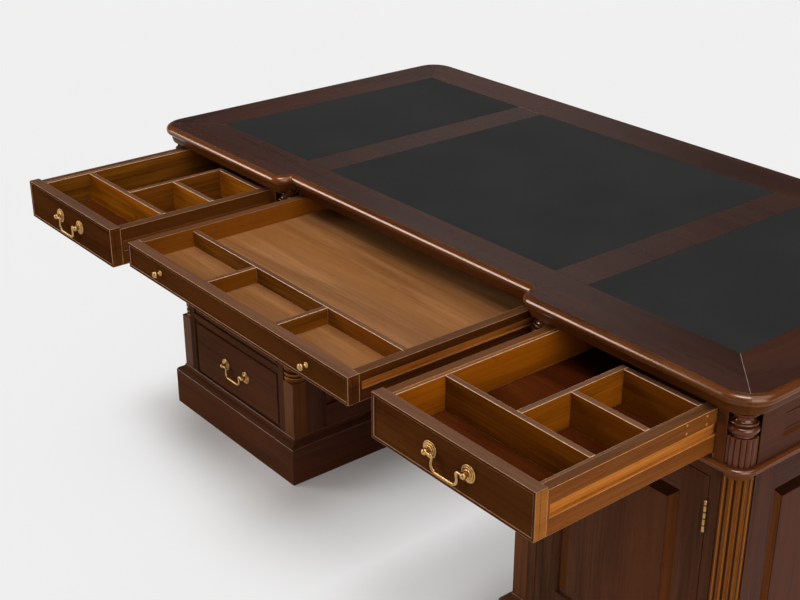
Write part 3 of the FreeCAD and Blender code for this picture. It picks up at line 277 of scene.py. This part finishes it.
def make_floor():
    """A wide level sheet of the floor's paper."""
    sheet = bmesh.new()
    bmesh.ops.create_grid(sheet, x_segments=1, y_segments=1, size=FLOOR_SIZE)
    floor = new_piece("floor", sheet)
    floor.data.materials.append(make_floor_paper())


# ---------------------------------------------------------------- wood

def make_grain_group():
    """Wood that runs along X of a board's own place: broad figure, warm drifts, streaks, pores and knots."""
    tree, entry, leave = new_group(
        "wood_grain",
        [("Board", "Vector"), ("Light Wood", "Color"), ("Dark Wood", "Color"), ("Warm Wood", "Color"),
         ("Streaks", "Float"), ("Knots", "Float")],
        [("Color", "Color"), ("Pores", "Float"), ("Figure", "Float")])
    board = entry.outputs["Board"]

    def stretched(along, across):
        return add(tree, "Mapping", Vector=board, Scale=(along, across, across)).outputs["Vector"]

    def drift(along, across, detail, wander=0.0):
        return add(tree, "TexNoise", Vector=stretched(along, across), Scale=1.0, Detail=detail,
                   Roughness=0.58, Distortion=wander).outputs["Fac"]

    figure = rise(tree, drift(1.5, 14, 4.0, 0.8), 0.36, 0.64)
    streaks = rise(tree, drift(4, 170, 3.0, 0.2), 0.34, 0.66)
    warmth = rise(tree, drift(1.1, 6, 2.0, 0.4), 0.40, 0.66)
    pores = rise(tree, drift(60, 1300, 1.0), 0.60, 0.74)
    share = maths(tree, "ADD", maths(tree, "MULTIPLY", streaks, entry.outputs["Streaks"]),
                  maths(tree, "MULTIPLY", figure, maths(tree, "SUBTRACT", 1.0, entry.outputs["Streaks"])))
    colour = blend(tree, share, entry.outputs["Dark Wood"], entry.outputs["Light Wood"])
    colour = blend(tree, maths(tree, "MULTIPLY", warmth, 0.6), colour, entry.outputs["Warm Wood"])
    cells = add(tree, "TexVoronoi", Vector=stretched(6, 11), Scale=1.0)
    rare = rise(tree, add(tree, "SeparateColor", Color=cells.outputs["Color"]).outputs[0], 0.80, 0.82)
    knot = maths(tree, "MULTIPLY", rise(tree, cells.outputs["Distance"], 0.10, 0.03), rare)
    knot = maths(tree, "MULTIPLY", knot, entry.outputs["Knots"])
    colour = blend(tree, maths(tree, "MULTIPLY", pores, 0.35), colour, (0.0, 0.0, 0.0))
    colour = blend(tree, knot, colour, entry.outputs["Dark Wood"])
    colour = blend(tree, maths(tree, "MULTIPLY", knot, 0.6), colour, (0.0, 0.0, 0.0))
    tree.links.new(colour, leave.inputs["Color"])
    tree.links.new(pores, leave.inputs["Pores"])
    tree.links.new(figure, leave.inputs["Figure"])
    return tree


GRAIN = make_grain_group()


def grained(tree, vector, light, dark, warm, streaks, knots=0.0):
    """The grain group fed with a place and its colours."""
    grain = tree.nodes.new("ShaderNodeGroup")
    grain.node_tree = GRAIN
    for name, value in (("Board", vector), ("Light Wood", light), ("Dark Wood", dark), ("Warm Wood", warm),
                        ("Streaks", streaks), ("Knots", knots)):
        plug(tree, grain.inputs[name], value)
    return grain


def wood(name, light, dark, warm, streaks, gloss, shine, knots=0.0):
    """A wood finish whose grain follows the board attribute."""
    material, tree = new_material(name)
    place = add(tree, "Attribute")
    place.attribute_name = "board"
    grain = grained(tree, place.outputs["Vector"], light, dark, warm, streaks, knots)
    rough = rise(tree, grain.outputs["Figure"], 0.0, 1.0, gloss, gloss + 0.06)
    height = maths(tree, "SUBTRACT", 1.0, grain.outputs["Pores"])
    surface(tree, grain.outputs["Color"], rough, bump=height, depth=0.00005, tint=POLISH_TINT,
            Specular_IOR_Level=polish(tree, shine))
    return material


# The columns' axes, as distances from the desk's middle, and the height over which their painted tones fade
# out.
COLUMN_AXES = (0.8505, 0.4085)
COLUMN_DEPTH = 0.4005
RIB_FADE = 0.001


def turned_wood(name, light, dark, warm, painted_tones, rib_top, gloss, shine):
    """Wood of the columns and capitals: upright grain, toned by the distance from the axis below `rib_top`,
    the tones being painted light and shade.

    Each painted tone gives the radius where it is full, the one where it is gone, its share and its colour."""
    material, tree = new_material(name)
    place = add(tree, "TexCoord").outputs["Object"]
    parts = add(tree, "SeparateXYZ", Vector=place)
    across = maths(tree, "ABSOLUTE", parts.outputs["X"])
    gaps = [maths(tree, "ABSOLUTE", maths(tree, "SUBTRACT", across, axis)) for axis in COLUMN_AXES]
    side = maths(tree, "MINIMUM", *gaps)
    depth = maths(tree, "SUBTRACT", maths(tree, "ABSOLUTE", parts.outputs["Y"]), COLUMN_DEPTH)
    flat = add(tree, "CombineXYZ", X=side, Y=depth, Z=0.0).outputs[0]
    radius = vectors(tree, "LENGTH", flat, out=1)
    upright = add(tree, "Mapping", Vector=place, Rotation=(0, math.radians(90), 0)).outputs["Vector"]
    grain = grained(tree, upright, light, dark, warm, 0.5)
    colour = grain.outputs["Color"]
    below = rise(tree, parts.outputs["Z"], rib_top + RIB_FADE, rib_top - RIB_FADE)
    for full, gone, share, tone in painted_tones:
        inside = maths(tree, "MULTIPLY", rise(tree, radius, gone, full, 0.0, share), below)
        colour = blend(tree, inside, colour, tone)
    surface(tree, colour, gloss, tint=POLISH_TINT, Specular_IOR_Level=polish(tree, shine))
    return material


def make_leather():
    """Black leather with fine pebbles."""
    material, tree = new_material("desk_leather")
    place = add(tree, "TexCoord").outputs["Object"]
    pebbles = add(tree, "TexVoronoi", Vector=place, Scale=900.0).outputs["Distance"]
    tone = add(tree, "TexNoise", Vector=place, Scale=6.0, Detail=3.0).outputs["Fac"]
    tone = rise(tree, tone, 0.3, 0.7, 0.0165, 0.0200)
    colour = add(tree, "CombineColor", Red=tone, Green=tone, Blue=tone).outputs[0]
    surface(tree, colour, 0.6, bump=pebbles, depth=0.0001, Specular_IOR_Level=0.2)
    return material


def make_brass(name, knuckle=0.0):
    """Antique brass; the length of a hinge's knuckle adds the dark joints between knuckles along Z."""
    material, tree = new_material(name)
    place = add(tree, "TexCoord").outputs["Object"]
    tone = add(tree, "TexNoise", Vector=place, Scale=150.0, Detail=4.0).outputs["Fac"]
    colour = blend(tree, rise(tree, tone, 0.25, 0.75), (0.40, 0.22, 0.075), (0.56, 0.34, 0.125))
    if knuckle:
        height = add(tree, "SeparateXYZ", Vector=place).outputs["Z"]
        along = maths(tree, "FRACT", maths(tree, "DIVIDE", height, knuckle))
        joint = rise(tree, maths(tree, "ABSOLUTE", maths(tree, "SUBTRACT", along, 0.5)), 0.14, 0.06)
        colour = blend(tree, joint, colour, (0.035, 0.018, 0.007))
    surface(tree, colour, rise(tree, tone, 0.3, 0.7, 0.36, 0.30), Metallic=1.0)
    return material


def plain(name, colour, roughness, shine):
    """A finish of one colour with a faint mottle."""
    material, tree = new_material(name)
    place = add(tree, "TexCoord").outputs["Object"]
    tone = add(tree, "TexNoise", Vector=place, Scale=90.0, Detail=2.0).outputs["Fac"]
    dull = tuple(part * 0.75 for part in colour)
    mottled = blend(tree, rise(tree, tone, 0.35, 0.65), dull, colour)
    surface(tree, mottled, roughness, Specular_IOR_Level=shine)
    return material


# Painted light and shade on the fluted columns, by distance from the axis: a light line on the arrises is a
# painted highlight, the orange flanks are painted light, and the dark in the flutes' depths is painted shade.
COLUMN_PAINTED_TONES = [
    (0.0272, 0.0276, 0.7, (0.42, 0.16, 0.025)),
    (0.0258, 0.0273, 1.0, (0.19, 0.055, 0.005)),
    (0.0245, 0.0252, 0.95, (0.018, 0.005, 0.001)),
]
COLUMN_RIB_TOP = 0.628
# Painted shade in the hollows between the capitals' reeds.
REED_PAINTED_SHADE = [(0.0225, 0.0262, 1.0, (0.008, 0.002, 0.001))]
REED_TOP = 0.6915
HINGE_KNUCKLE = 0.013

# A wood has its light, dark and warm colour, the share of its streaks, its roughness, shine and knots.
FINISHES = {
    "top_wood": wood("top_wood", (0.048, 0.0175, 0.0110), (0.025, 0.0085, 0.0050), (0.058, 0.0180, 0.0085),
                     0.35, 0.24, 0.40),
    "band_wood": wood("band_wood", (0.042, 0.0200, 0.0150), (0.028, 0.0130, 0.0095), (0.045, 0.0170, 0.0110),
                      0.35, 0.26, 0.35),
    "moulding_wood": wood("moulding_wood", (0.135, 0.042, 0.010), (0.048, 0.013, 0.003),
                          (0.140, 0.036, 0.006), 0.40, 0.13, (0.15, 1.0)),
    "skirt_wood": wood("skirt_wood", (0.088, 0.024, 0.004), (0.040, 0.010, 0.002), (0.110, 0.034, 0.005),
                       0.45, 0.28, 0.05),
    "front_wood": wood("front_wood", (0.066, 0.020, 0.0050), (0.026, 0.007, 0.0020), (0.074, 0.024, 0.005),
                       0.40, 0.40, 0.0),
    "bead_wood": wood("bead_wood", (0.085, 0.030, 0.012), (0.040, 0.013, 0.005), (0.085, 0.028, 0.008),
                      0.40, 0.20, 0.60),
    "door_wood": wood("door_wood", (0.078, 0.033, 0.0170), (0.036, 0.015, 0.0085), (0.088, 0.030, 0.013),
                      0.40, 0.40, 0.0),
    "end_wood": wood("end_wood", (0.078, 0.028, 0.015), (0.034, 0.0115, 0.0068), (0.084, 0.024, 0.011),
                     0.40, 0.34, 0.03),
    # Painted reflection: level tops of drawer boards take a greyer, purpler copy of the wood, standing in for
    # the overhead light mirrored in them.
    "painted_sheen_top_edge": wood("painted_sheen_top_edge", (0.175, 0.084, 0.048), (0.085, 0.037, 0.020), (0.170, 0.070, 0.032),
                     0.60, 0.30, 0.30),
    "painted_sheen_side_top": wood("painted_sheen_side_top", (0.135, 0.055, 0.020), (0.062, 0.023, 0.008), (0.135, 0.046, 0.012),
                     0.60, 0.32, 0.25),
    "side_wood": wood("side_wood", (0.215, 0.070, 0.013), (0.075, 0.021, 0.004), (0.205, 0.058, 0.006),
                      0.50, 0.45, 0.04, 1.0),
    "raw_wood": wood("raw_wood", (0.620, 0.235, 0.042), (0.300, 0.090, 0.013), (0.450, 0.150, 0.020),
                     0.65, 0.60, 0.04),
    "lining_wood": wood("lining_wood", (0.440, 0.140, 0.006), (0.150, 0.040, 0.002), (0.380, 0.095, 0.003),
                        0.45, 0.40, 0.04, 0.8),
    "dim_lining_wood": wood("dim_lining_wood", (0.250, 0.088, 0.008), (0.085, 0.026, 0.003),
                            (0.210, 0.055, 0.004), 0.45, 0.40, 0.04, 0.8),
    "painted_shade_lining_wood": wood("painted_shade_lining_wood", (0.190, 0.056, 0.003), (0.055, 0.014, 0.001),
                             (0.150, 0.036, 0.002), 0.45, 0.40, 0.04, 0.8),
    "floor_wood": wood("floor_wood", (0.085, 0.016, 0.003), (0.030, 0.005, 0.001), (0.110, 0.030, 0.004),
                       0.50, 0.45, 0.04),
    "pale_floor_wood": wood("pale_floor_wood", (0.350, 0.157, 0.058), (0.200, 0.080, 0.024),
                            (0.270, 0.104, 0.026), 0.35, 0.30, 0.30),
    "inner_wood": wood("inner_wood", (0.130, 0.045, 0.016), (0.060, 0.020, 0.007), (0.130, 0.040, 0.012),
                       0.50, 0.55, 0.05),
    # Painted light and painted shade: a lit and a shaded copy of the show wood for slanting faces of panels
    # and mouldings.
    "painted_light_wood": wood("painted_light_wood", (0.090, 0.030, 0.010), (0.045, 0.014, 0.005), (0.105, 0.030, 0.008),
                       0.40, 0.36, 0.0),
    "painted_shade_wood": wood("painted_shade_wood", (0.020, 0.006, 0.003), (0.010, 0.003, 0.0015), (0.024, 0.007, 0.003),
                        0.40, 0.40, 0.0),
    "end_grain": wood("end_grain", (0.330, 0.125, 0.025), (0.160, 0.050, 0.009), (0.320, 0.105, 0.013),
                      0.50, 0.45, 0.04),
    # The eased arrises' finishes are lighter than their wood: partly worn edges, partly a painted highlight
    # along every arris. The plugs share the side's one as their own wood.
    "show_arris": plain("show_arris", (0.16, 0.070, 0.038), 0.25, 0.6),
    "front_arris_wear_highlight": plain("front_arris_wear_highlight", (0.32, 0.160, 0.080), 0.30, 0.3),
    "side_arris": plain("side_arris", (0.50, 0.210, 0.055), 0.35, 0.2),
    "drawer_arris_wear_highlight": plain("drawer_arris_wear_highlight", (0.72, 0.42, 0.23), 0.30, 0.6),
    "seam": plain("seam", (0.010, 0.003, 0.001), 0.8, 0.0),
    "column_wood": turned_wood("column_wood", (0.125, 0.040, 0.008), (0.060, 0.017, 0.004),
                               (0.145, 0.042, 0.006), COLUMN_PAINTED_TONES, COLUMN_RIB_TOP, 0.28, 0.06),
    "reed_wood": turned_wood("reed_wood", (0.095, 0.028, 0.010), (0.042, 0.012, 0.005),
                             (0.100, 0.025, 0.007), REED_PAINTED_SHADE, REED_TOP, 0.13, (0.28, 1.0)),
    "leather": make_leather(),
    "brass": make_brass("antique_brass"),
    "hinge_brass": make_brass("hinge_brass", HINGE_KNUCKLE),
    # A painted highlight along the front right mitre of the top.
    "mitre_painted_highlight": plain("mitre_painted_highlight", (0.36, 0.26, 0.21), 0.35, 0.3),
}

# ---------------------------------------------------------------- which finish and grain each face has

# Where one finish or grain ends and the next begins: pedestal middle, doors, openings, frames and hinges.
MID = 0.6295
DOOR_HALF = 0.1895
OPENING_HALF = 0.191
STILE = 0.055
END_OPENING = 0.333
HINGE_REACH = 0.176

# The top's edge boards: the painted highlight line at the mitre, the level face and the moulded edge, from
# the top down.
MITRE_HIGHLIGHT = 0.0010
LEVEL_FACE = 0.0010
MOULDED_EDGE = 0.0232

# The frieze drawers: the front's lap over the sides, the sides, their grooves and the bottom's seams.
LAP = 0.010
LAP_SEAM = 0.0003
LAP_SEAM_REACH = 0.0004
SIDE_BOARD = 0.018
CENTRE_SIDE_BOARD = 0.020
SIDE_REACH = 0.021
OUTER_FACE = 0.0004
GROOVE_DEPTH = 0.0066
CENTRE_REACH = 0.3
FLOOR_SEAMS = (0.078, 0.163, 0.251, 0.338, 0.426)
FLOOR_SEAM = 0.0002
FLOOR_SEAM_REACH = 0.0003

# The pedestal drawers: thickness of the front, its bead, and the height that only the bottom stays under.
STACKED_FRONT = 0.024
STACKED_BEAD = 0.006
STACKED_FLOOR = 0.02

# A face this near a node's side lies in it, and a normal between these is on the slope.
SKIN = 0.0005
SLIGHT, STEEP = 0.05, 0.95

FRIEZE_FRONTS = ("left_drawer_front", "right_drawer_front", "centre_drawer_front")
PEDESTAL_DRAWERS = ("bottom_drawer", "middle_drawer", "top_drawer")
PEDESTAL_FRAMES = ("drawer_stack_frame", "cupboard_frame", "rear_cupboard_frames")
FRAMED_SIDES = ("pedestal_ends", "kneehole_sides")
INNER_BOARDS = ("pedestal_boards", "drawer_runners", "top_core")
BRASS_WORDS = ("bail", "handle_posts", "knobs", "fittings", "hinge_leaves")
TURNED = {"corner_columns": "column_wood", "capitals": "reed_wood"}
ONE_FINISH = {
    "crossbands": ("band_wood", X),
    "leather_panels": ("leather", X),
    "frieze_front_rails": ("front_wood", X),
    **dict.fromkeys(INNER_BOARDS, ("inner_wood", None)),
}


def looks(normal):
    """The way a flat face looks, such as "+X", or "" for a slanting one."""
    for axis, letter in enumerate("XYZ"):
        if abs(normal[axis]) > 0.999:
            return ("+" if normal[axis] > 0 else "-") + letter
    return ""


def level_axis(normal):
    """The level axis that a face's board runs along, across the way it looks."""
    return Y if abs(normal.x) > abs(normal.y) else X


def rail_axis(at, opening, upright=Z, level=X):
    """Upright grain in a frame's stiles, level grain in its rails."""
    axis, low, high = opening
    return level if low < at[axis] < high else upright


def leather_corner():
    """The outer corner of the leathers, where the top's mitres begin."""
    box = frame["nodes"]["leather_panels"].bound_box
    return max(point[X] for point in box), max(point[Y] for point in box)


def finish_top_rail(at, high, axis):
    """An edge board of the top: level face with a painted highlight line at the front right mitre, moulding
    and foot.
    """
    if at.z > high.z - LEVEL_FACE:
        corner_x, corner_y = leather_corner()
        off_mitre = (at.x - corner_x + at.y + corner_y) / math.sqrt(2)
        on_line = at.x > corner_x and abs(off_mitre) < MITRE_HIGHLIGHT
        return ("mitre_painted_highlight" if on_line else "top_wood"), axis
    return ("moulding_wood" if at.z > high.z - MOULDED_EDGE else "skirt_wood"), axis


def finish_front(at, normal, low, high):
    """A drawer front: polished face, top edge with a painted reflection, end grain lapped over the drawer's
    side.
    """
    way = looks(normal)
    if way == "+Z" and at.z > high.z - SKIN:
        return "painted_sheen_top_edge", X
    if way in ("+X", "-X") and (at.x > high.x - SKIN or at.x < low.x + SKIN):
        if abs(at.y - low.y - LAP) < LAP_SEAM_REACH:
            return "seam", Y
        return ("end_grain" if low.x > 0 else "skirt_wood"), Y
    if way == "+Y":
        return "lining_wood", X
    return ("front_wood" if way == "-Y" else "bead_wood"), X


def finish_box(at, normal, low, high):
    """Sides and back of a drawer, with raw wood in the runner grooves."""
    way = looks(normal)
    inward = (high.x - low.x) / 2 - abs(at.x - (low.x + high.x) / 2)
    if inward < OUTER_FACE:
        return ("side_wood" if low.x > 0 else "skirt_wood"), Y
    if inward < GROOVE_DEPTH and way != "+Y":
        return ("side_wood" if high.x < 0 else "raw_wood"), Y
    axis = Y if inward < SIDE_REACH else X
    return ("painted_sheen_side_top" if way == "+Z" else lining(way, low, high)), axis


def lining(way, low, high):
    """Lining boards, lit and shaded copies of one wood as painted light and shade: golden in the right-hand
    drawer but for those that face the front, which take a painted-shade copy; the other way round in the
    left-hand one; and dim in the centre."""
    middle = (low.x + high.x) / 2
    if middle > CENTRE_REACH:
        return "painted_shade_lining_wood" if way == "-Y" else "lining_wood"
    return "lining_wood" if middle < -CENTRE_REACH and way == "-Y" else "dim_lining_wood"


def finish_stacked(at, normal, low, high):
    """A drawer of the pedestal, whose front, sides and bottom are one node."""
    way = looks(normal)
    if at.y < low.y + STACKED_FRONT + SKIN:
        inner_face = at.y > low.y + STACKED_FRONT - SKIN
        top_edge = way == "+Z" and at.z > high.z - SKIN and at.y > low.y + STACKED_BEAD
        return ("lining_wood" if inner_face or top_edge else "door_wood"), X
    if way == "+Z" and at.z < low.z + STACKED_FLOOR:
        return "floor_wood", X
    if way == "+Z":
        return "painted_sheen_top_edge", Y
    return "lining_wood", level_axis(normal)


def finish_raised(normal, field, level):
    """A raised panel: painted shade on the upper bevel, and painted light on the upright bevels."""
    if SLIGHT < normal.z < STEEP:
        return "painted_shade_wood", level
    if SLIGHT < abs(normal[level]) < STEEP:
        return "painted_light_wood", Z
    return field, Z


def door_opening(node):
    """The opening in a door's frame, as (axis, from, to)."""
    side = -MID if "left" in node else MID
    return X, side - DOOR_HALF + STILE, side + DOOR_HALF - STILE


def choose(node, at, normal, low, high):
    """Finish and grain axis of one face; an axis of None follows the board's length."""
    way = looks(normal)
    if any(word in node for word in BRASS_WORDS):
        at_hinge = node.endswith("fittings") and abs(abs(at.x) - MID) > HINGE_REACH
        return ("hinge_brass" if at_hinge or node == "hinge_leaves" else "brass"), X
    if node in TURNED:
        return TURNED[node], Z
    if node in ONE_FINISH:
        return ONE_FINISH[node]
    if node.startswith("top_rail"):
        return finish_top_rail(at, high, X if node.endswith(("front", "rear")) else Y)
    if node in FRIEZE_FRONTS:
        return finish_front(at, normal, low, high)
    if node.endswith("_box"):
        return finish_box(at, normal, low, high)
    if node.endswith("_dividers"):
        if way == "+Z":
            return "painted_sheen_top_edge", None
        return lining(way, low, high), level_axis(normal)
    if node.endswith("_bottom"):
        if way == "+Z" and at_seam(at, low):
            return "seam", X
        return ("pale_floor_wood" if node.startswith("centre") else "floor_wood"), X
    if node in PEDESTAL_DRAWERS:
        return finish_stacked(at, normal, low, high)
    if node.endswith("door_frame"):
        return "door_wood", rail_axis(at, door_opening(node))
    if node.endswith("door_panel"):
        return finish_raised(normal, "door_wood", X)
    if node in FRAMED_SIDES:
        return "end_wood", rail_axis(at, (Y, -END_OPENING, END_OPENING), level=Y)
    if node == "side_panels":
        return finish_raised(normal, "end_wood", Y)
    # Painted shade on the frieze ends' downward slanting faces, painted light on their upward ones.
    if node == "frieze_ends" and abs(normal.z) < STEEP and abs(normal.x) < STEEP:
        return ("painted_shade_wood" if normal.z < -SLIGHT else "painted_light_wood"), Y
    if node in ("frieze_ends", "frieze_panels"):
        return ("front_wood" if way == "-Y" else "end_wood"), (Z if way in ("-Y", "+Y") else Y)
    if node in PEDESTAL_FRAMES:
        side = math.copysign(MID, at.x)
        return "door_wood", rail_axis(at, (X, side - OPENING_HALF, side + OPENING_HALF))
    if node == "frieze_partitions":
        return ("skirt_wood" if way == "-Y" else "inner_wood"), (Z if way == "-Y" else Y)
    if node == "plinths":
        return ("end_wood" if abs(normal.x) > abs(normal.y) else "door_wood"), level_axis(normal)
    if node == "bead_boards":
        return ("end_wood" if way in ("+Z", "-Z") else "moulding_wood"), level_axis(normal)
    return "door_wood", X


def at_seam(at, low):
    """Whether a face lies in a seam between the boards of a drawer's bottom."""
    return any(abs(at.y - low.y - place) < FLOOR_SEAM_REACH for place in FLOOR_SEAMS)


def cuts(node, low, high):
    """Planes (axis, place) that part a node's faces where its finish or grain changes."""
    if node.endswith("door_frame"):
        return [(X, place) for place in door_opening(node)[1:]]
    if node in FRAMED_SIDES:
        return [(Y, -END_OPENING), (Y, END_OPENING)]
    if node in PEDESTAL_FRAMES:
        return [(X, side * MID + edge) for side in (-1, 1) for edge in (-OPENING_HALF, OPENING_HALF)]
    if node in FRIEZE_FRONTS:
        return [(Y, low.y + LAP - LAP_SEAM), (Y, low.y + LAP + LAP_SEAM)]
    if node.endswith("_box"):
        board = CENTRE_SIDE_BOARD if node.startswith("centre") else SIDE_BOARD
        return [(X, low.x + board), (X, high.x - board)]
    if node.endswith("_bottom") and not node.startswith("centre"):
        return [(Y, low.y + place + half) for place in FLOOR_SEAMS for half in (-FLOOR_SEAM, FLOOR_SEAM)]
    return []


# ---------------------------------------------------------------- dressed copies of the frame's nodes

# Corners nearer than this are one; faces that bend less, in degrees, are one; a face is level from here up.
WELD = 1e-6
FLAT_BEND = 0.3
LEVEL = 0.9999

# Edges that bend more than this are eased, and wood and brass are shaded apart past these, in degrees.
ARRIS_BEND = 40
WOOD_BEND = 32
BRASS_BEND = 60

# How wide the eased arrises are.
LEATHER_EASE = 0.0004
BOARD_EASE = 0.0008
DIVIDER_EASE = 0.0009
TRIM_EASE = 0.0010
SHOW_BOARDS = ("_frame", "_frames", "_panel", "_panels", "_ends", "_sides", "_drawer", "crossbands",
               "rail_front", "rail_rear", "rail_left", "rail_right")

# How far the grain moves from one board to the next, so that no two boards show the same figure.
BOARD_SHIFT = Vector((0.37, 1.13, 0.71))


def linked_boards(shape):
    """The separate boards in a bmesh, each a list of its faces."""
    left = set(shape.faces)
    boards = []
    while left:
        first = left.pop()
        board = [first]
        stack = [first]
        while stack:
            for edge in stack.pop().edges:
                for face in edge.link_faces:
                    if face in left:
                        left.remove(face)
                        board.append(face)
                        stack.append(face)
        boards.append(board)
    boards.sort(key=lambda faces: tuple(round(x, 4) for x in faces_box(faces)[0]))
    return boards


def faces_box(faces):
    """Lowest and highest corner of some faces."""
    points = [vert.co for face in faces for vert in face.verts]
    low = Vector([min(point[axis] for point in points) for axis in range(3)])
    high = Vector([max(point[axis] for point in points) for axis in range(3)])
    return low, high


def part_faces(shape, point, across):
    """Cut the faces that the plane through `point`, square to `across`, passes through."""
    bmesh.ops.bisect_plane(shape, geom=shape.verts[:] + shape.edges[:] + shape.faces[:], dist=WELD,
                           plane_co=point, plane_no=across)


def lay_finishes(shape, node):
    """Give each face its finish, and each corner its place on its board with the grain along X."""
    low, high = faces_box(shape.faces)
    for axis, place in cuts(node, low, high):
        across = Vector([1.0 if i == axis else 0.0 for i in range(3)])
        part_faces(shape, across * place, across)
    if node == "top_rail_front":
        corner_x, corner_y = leather_corner()
        across = Vector((1.0, 1.0, 0.0)).normalized()
        part_faces(shape, Vector((corner_x, -corner_y, 0.0)) - across * MITRE_HIGHLIGHT, across)
    shape.normal_update()
    layer = shape.loops.layers.float_vector.new("board")
    names = []
    for number, faces in enumerate(linked_boards(shape)):
        board_low, board_high = faces_box(faces)
        size = board_high - board_low
        longest = max(range(3), key=lambda i: size[i])
        for face in faces:
            finish, axis = choose(node, face.calc_center_median(), face.normal, low, high)
            axis = longest if axis is None else axis
            if finish not in names:
                names.append(finish)
            face.material_index = names.index(finish)
            shift = BOARD_SHIFT * (number + 3 * axis + 1)
            for loop in face.loops:
                loop[layer] = Vector([loop.vert.co[(axis + i) % 3] for i in range(3)]) + shift
    return names


def mark_arrises(shape):
    """Weigh the outer edges that a plane would ease."""
    weight = shape.edges.layers.float.new("bevel_weight_edge")
    for edge in shape.edges:
        if len(edge.link_faces) == 2 and edge.calc_face_angle_signed(0) > math.radians(ARRIS_BEND):
            edge[weight] = 1.0


def mark_sharp(shape, bend, level_apart):
    """Shade apart the faces that meet at more than `bend` degrees, and level faces from their rims if asked.

    An edge of other than two faces is sharp too."""
    for edge in shape.edges:
        level = [face.normal.z > LEVEL for face in edge.link_faces]
        rim = level_apart and any(level) and not all(level)
        edge.smooth = not rim and edge.calc_face_angle(math.pi) <= math.radians(bend)


def dress(node, slot, ease, arris=None):
    """A finished copy of a node: doubles merged, flat faces joined, arrises eased and finishes laid."""
    source = frame["nodes"][node]
    shape = bmesh.new()
    shape.from_mesh(source.data)
    bmesh.ops.remove_doubles(shape, verts=shape.verts, dist=WELD)
    bmesh.ops.dissolve_limit(shape, angle_limit=math.radians(FLAT_BEND), use_dissolve_boundaries=False,
                             verts=shape.verts, edges=shape.edges, delimit={"NORMAL"})
    mark_arrises(shape)
    names = lay_finishes(shape, node)
    for face in shape.faces:
        face.smooth = True
    mark_sharp(shape, BRASS_BEND if slot == "brass" else WOOD_BEND, node.startswith("top_rail"))
    piece = new_piece(node + "_finished", shape)
    for name in names:
        piece.data.materials.append(FINISHES[name])
    if ease:
        bevel = piece.modifiers.new("eased arrises", "BEVEL")
        bevel.width = ease
        bevel.segments = 2
        bevel.limit_method = "WEIGHT"
        bevel.use_clamp_overlap = True
        bevel.harden_normals = True
        # The arris finish paints a highlight on the eased edges, partly standing for wear.
        if arris:
            piece.data.materials.append(FINISHES[arris])
            bevel.material = len(names)
    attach(piece, source["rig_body"])
    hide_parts(node)


def finish_nodes():
    """Put a finish on every node of the frame."""
    for node in sorted(frame["nodes"]):
        if any(word in node for word in BRASS_WORDS):
            dress(node, "brass", 0)
        elif node in TURNED:
            dress(node, "show_wood", 0)
        elif node == "leather_panels":
            dress(node, "leather", LEATHER_EASE)
        elif node in FRIEZE_FRONTS:
            dress(node, "show_wood", BOARD_EASE, "front_arris_wear_highlight")
        elif node.endswith(SHOW_BOARDS):
            dress(node, "show_wood", BOARD_EASE)
        elif node.endswith("_box"):
            arris = "side_arris" if node.startswith("right") else "front_arris_wear_highlight"
            dress(node, "drawer_wood", BOARD_EASE, arris)
        elif node.endswith("_dividers"):
            dress(node, "drawer_wood", DIVIDER_EASE, "drawer_arris_wear_highlight")
        elif node.endswith("_bottom"):
            dress(node, "floor_wood", 0)
        elif node in INNER_BOARDS:
            dress(node, "inner_wood", BOARD_EASE)
        else:
            dress(node, "show_wood", TRIM_EASE, "show_arris")


# ---------------------------------------------------------------- plugs in the side drawers

PLUG_RADIUS = 0.0022
PLUG_PROUD = 0.0002
PLUG_SEGMENTS = 20
PLUG_HEIGHTS = (0.7270, 0.7120)
PLUG_STATIONS = (-0.4530, -0.5010)
DRAWER_SIDE = 0.819


def plug_side(drawer, outward):
    """Wooden plugs over the screws in a side drawer's outer side, set a hair proud."""
    shape = bmesh.new()
    turn = Matrix.Rotation(math.radians(90), 4, "Y")
    for y in PLUG_STATIONS:
        for z in PLUG_HEIGHTS:
            place = Matrix.Translation((outward * (DRAWER_SIDE + PLUG_PROUD), y, z))
            bmesh.ops.create_cone(shape, cap_ends=True, segments=PLUG_SEGMENTS, radius1=PLUG_RADIUS,
                                  radius2=PLUG_RADIUS, depth=2 * PLUG_PROUD, matrix=place @ turn)
    bmesh.ops.recalc_face_normals(shape, faces=shape.faces)
    piece = new_piece(drawer + "_plugs", shape)
    piece.data.materials.append(FINISHES["side_arris"])
    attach(piece, drawer)


make_camera()
make_room()
make_floor()
finish_nodes()
plug_side("right_drawer", 1)
plug_side("left_drawer", -1)
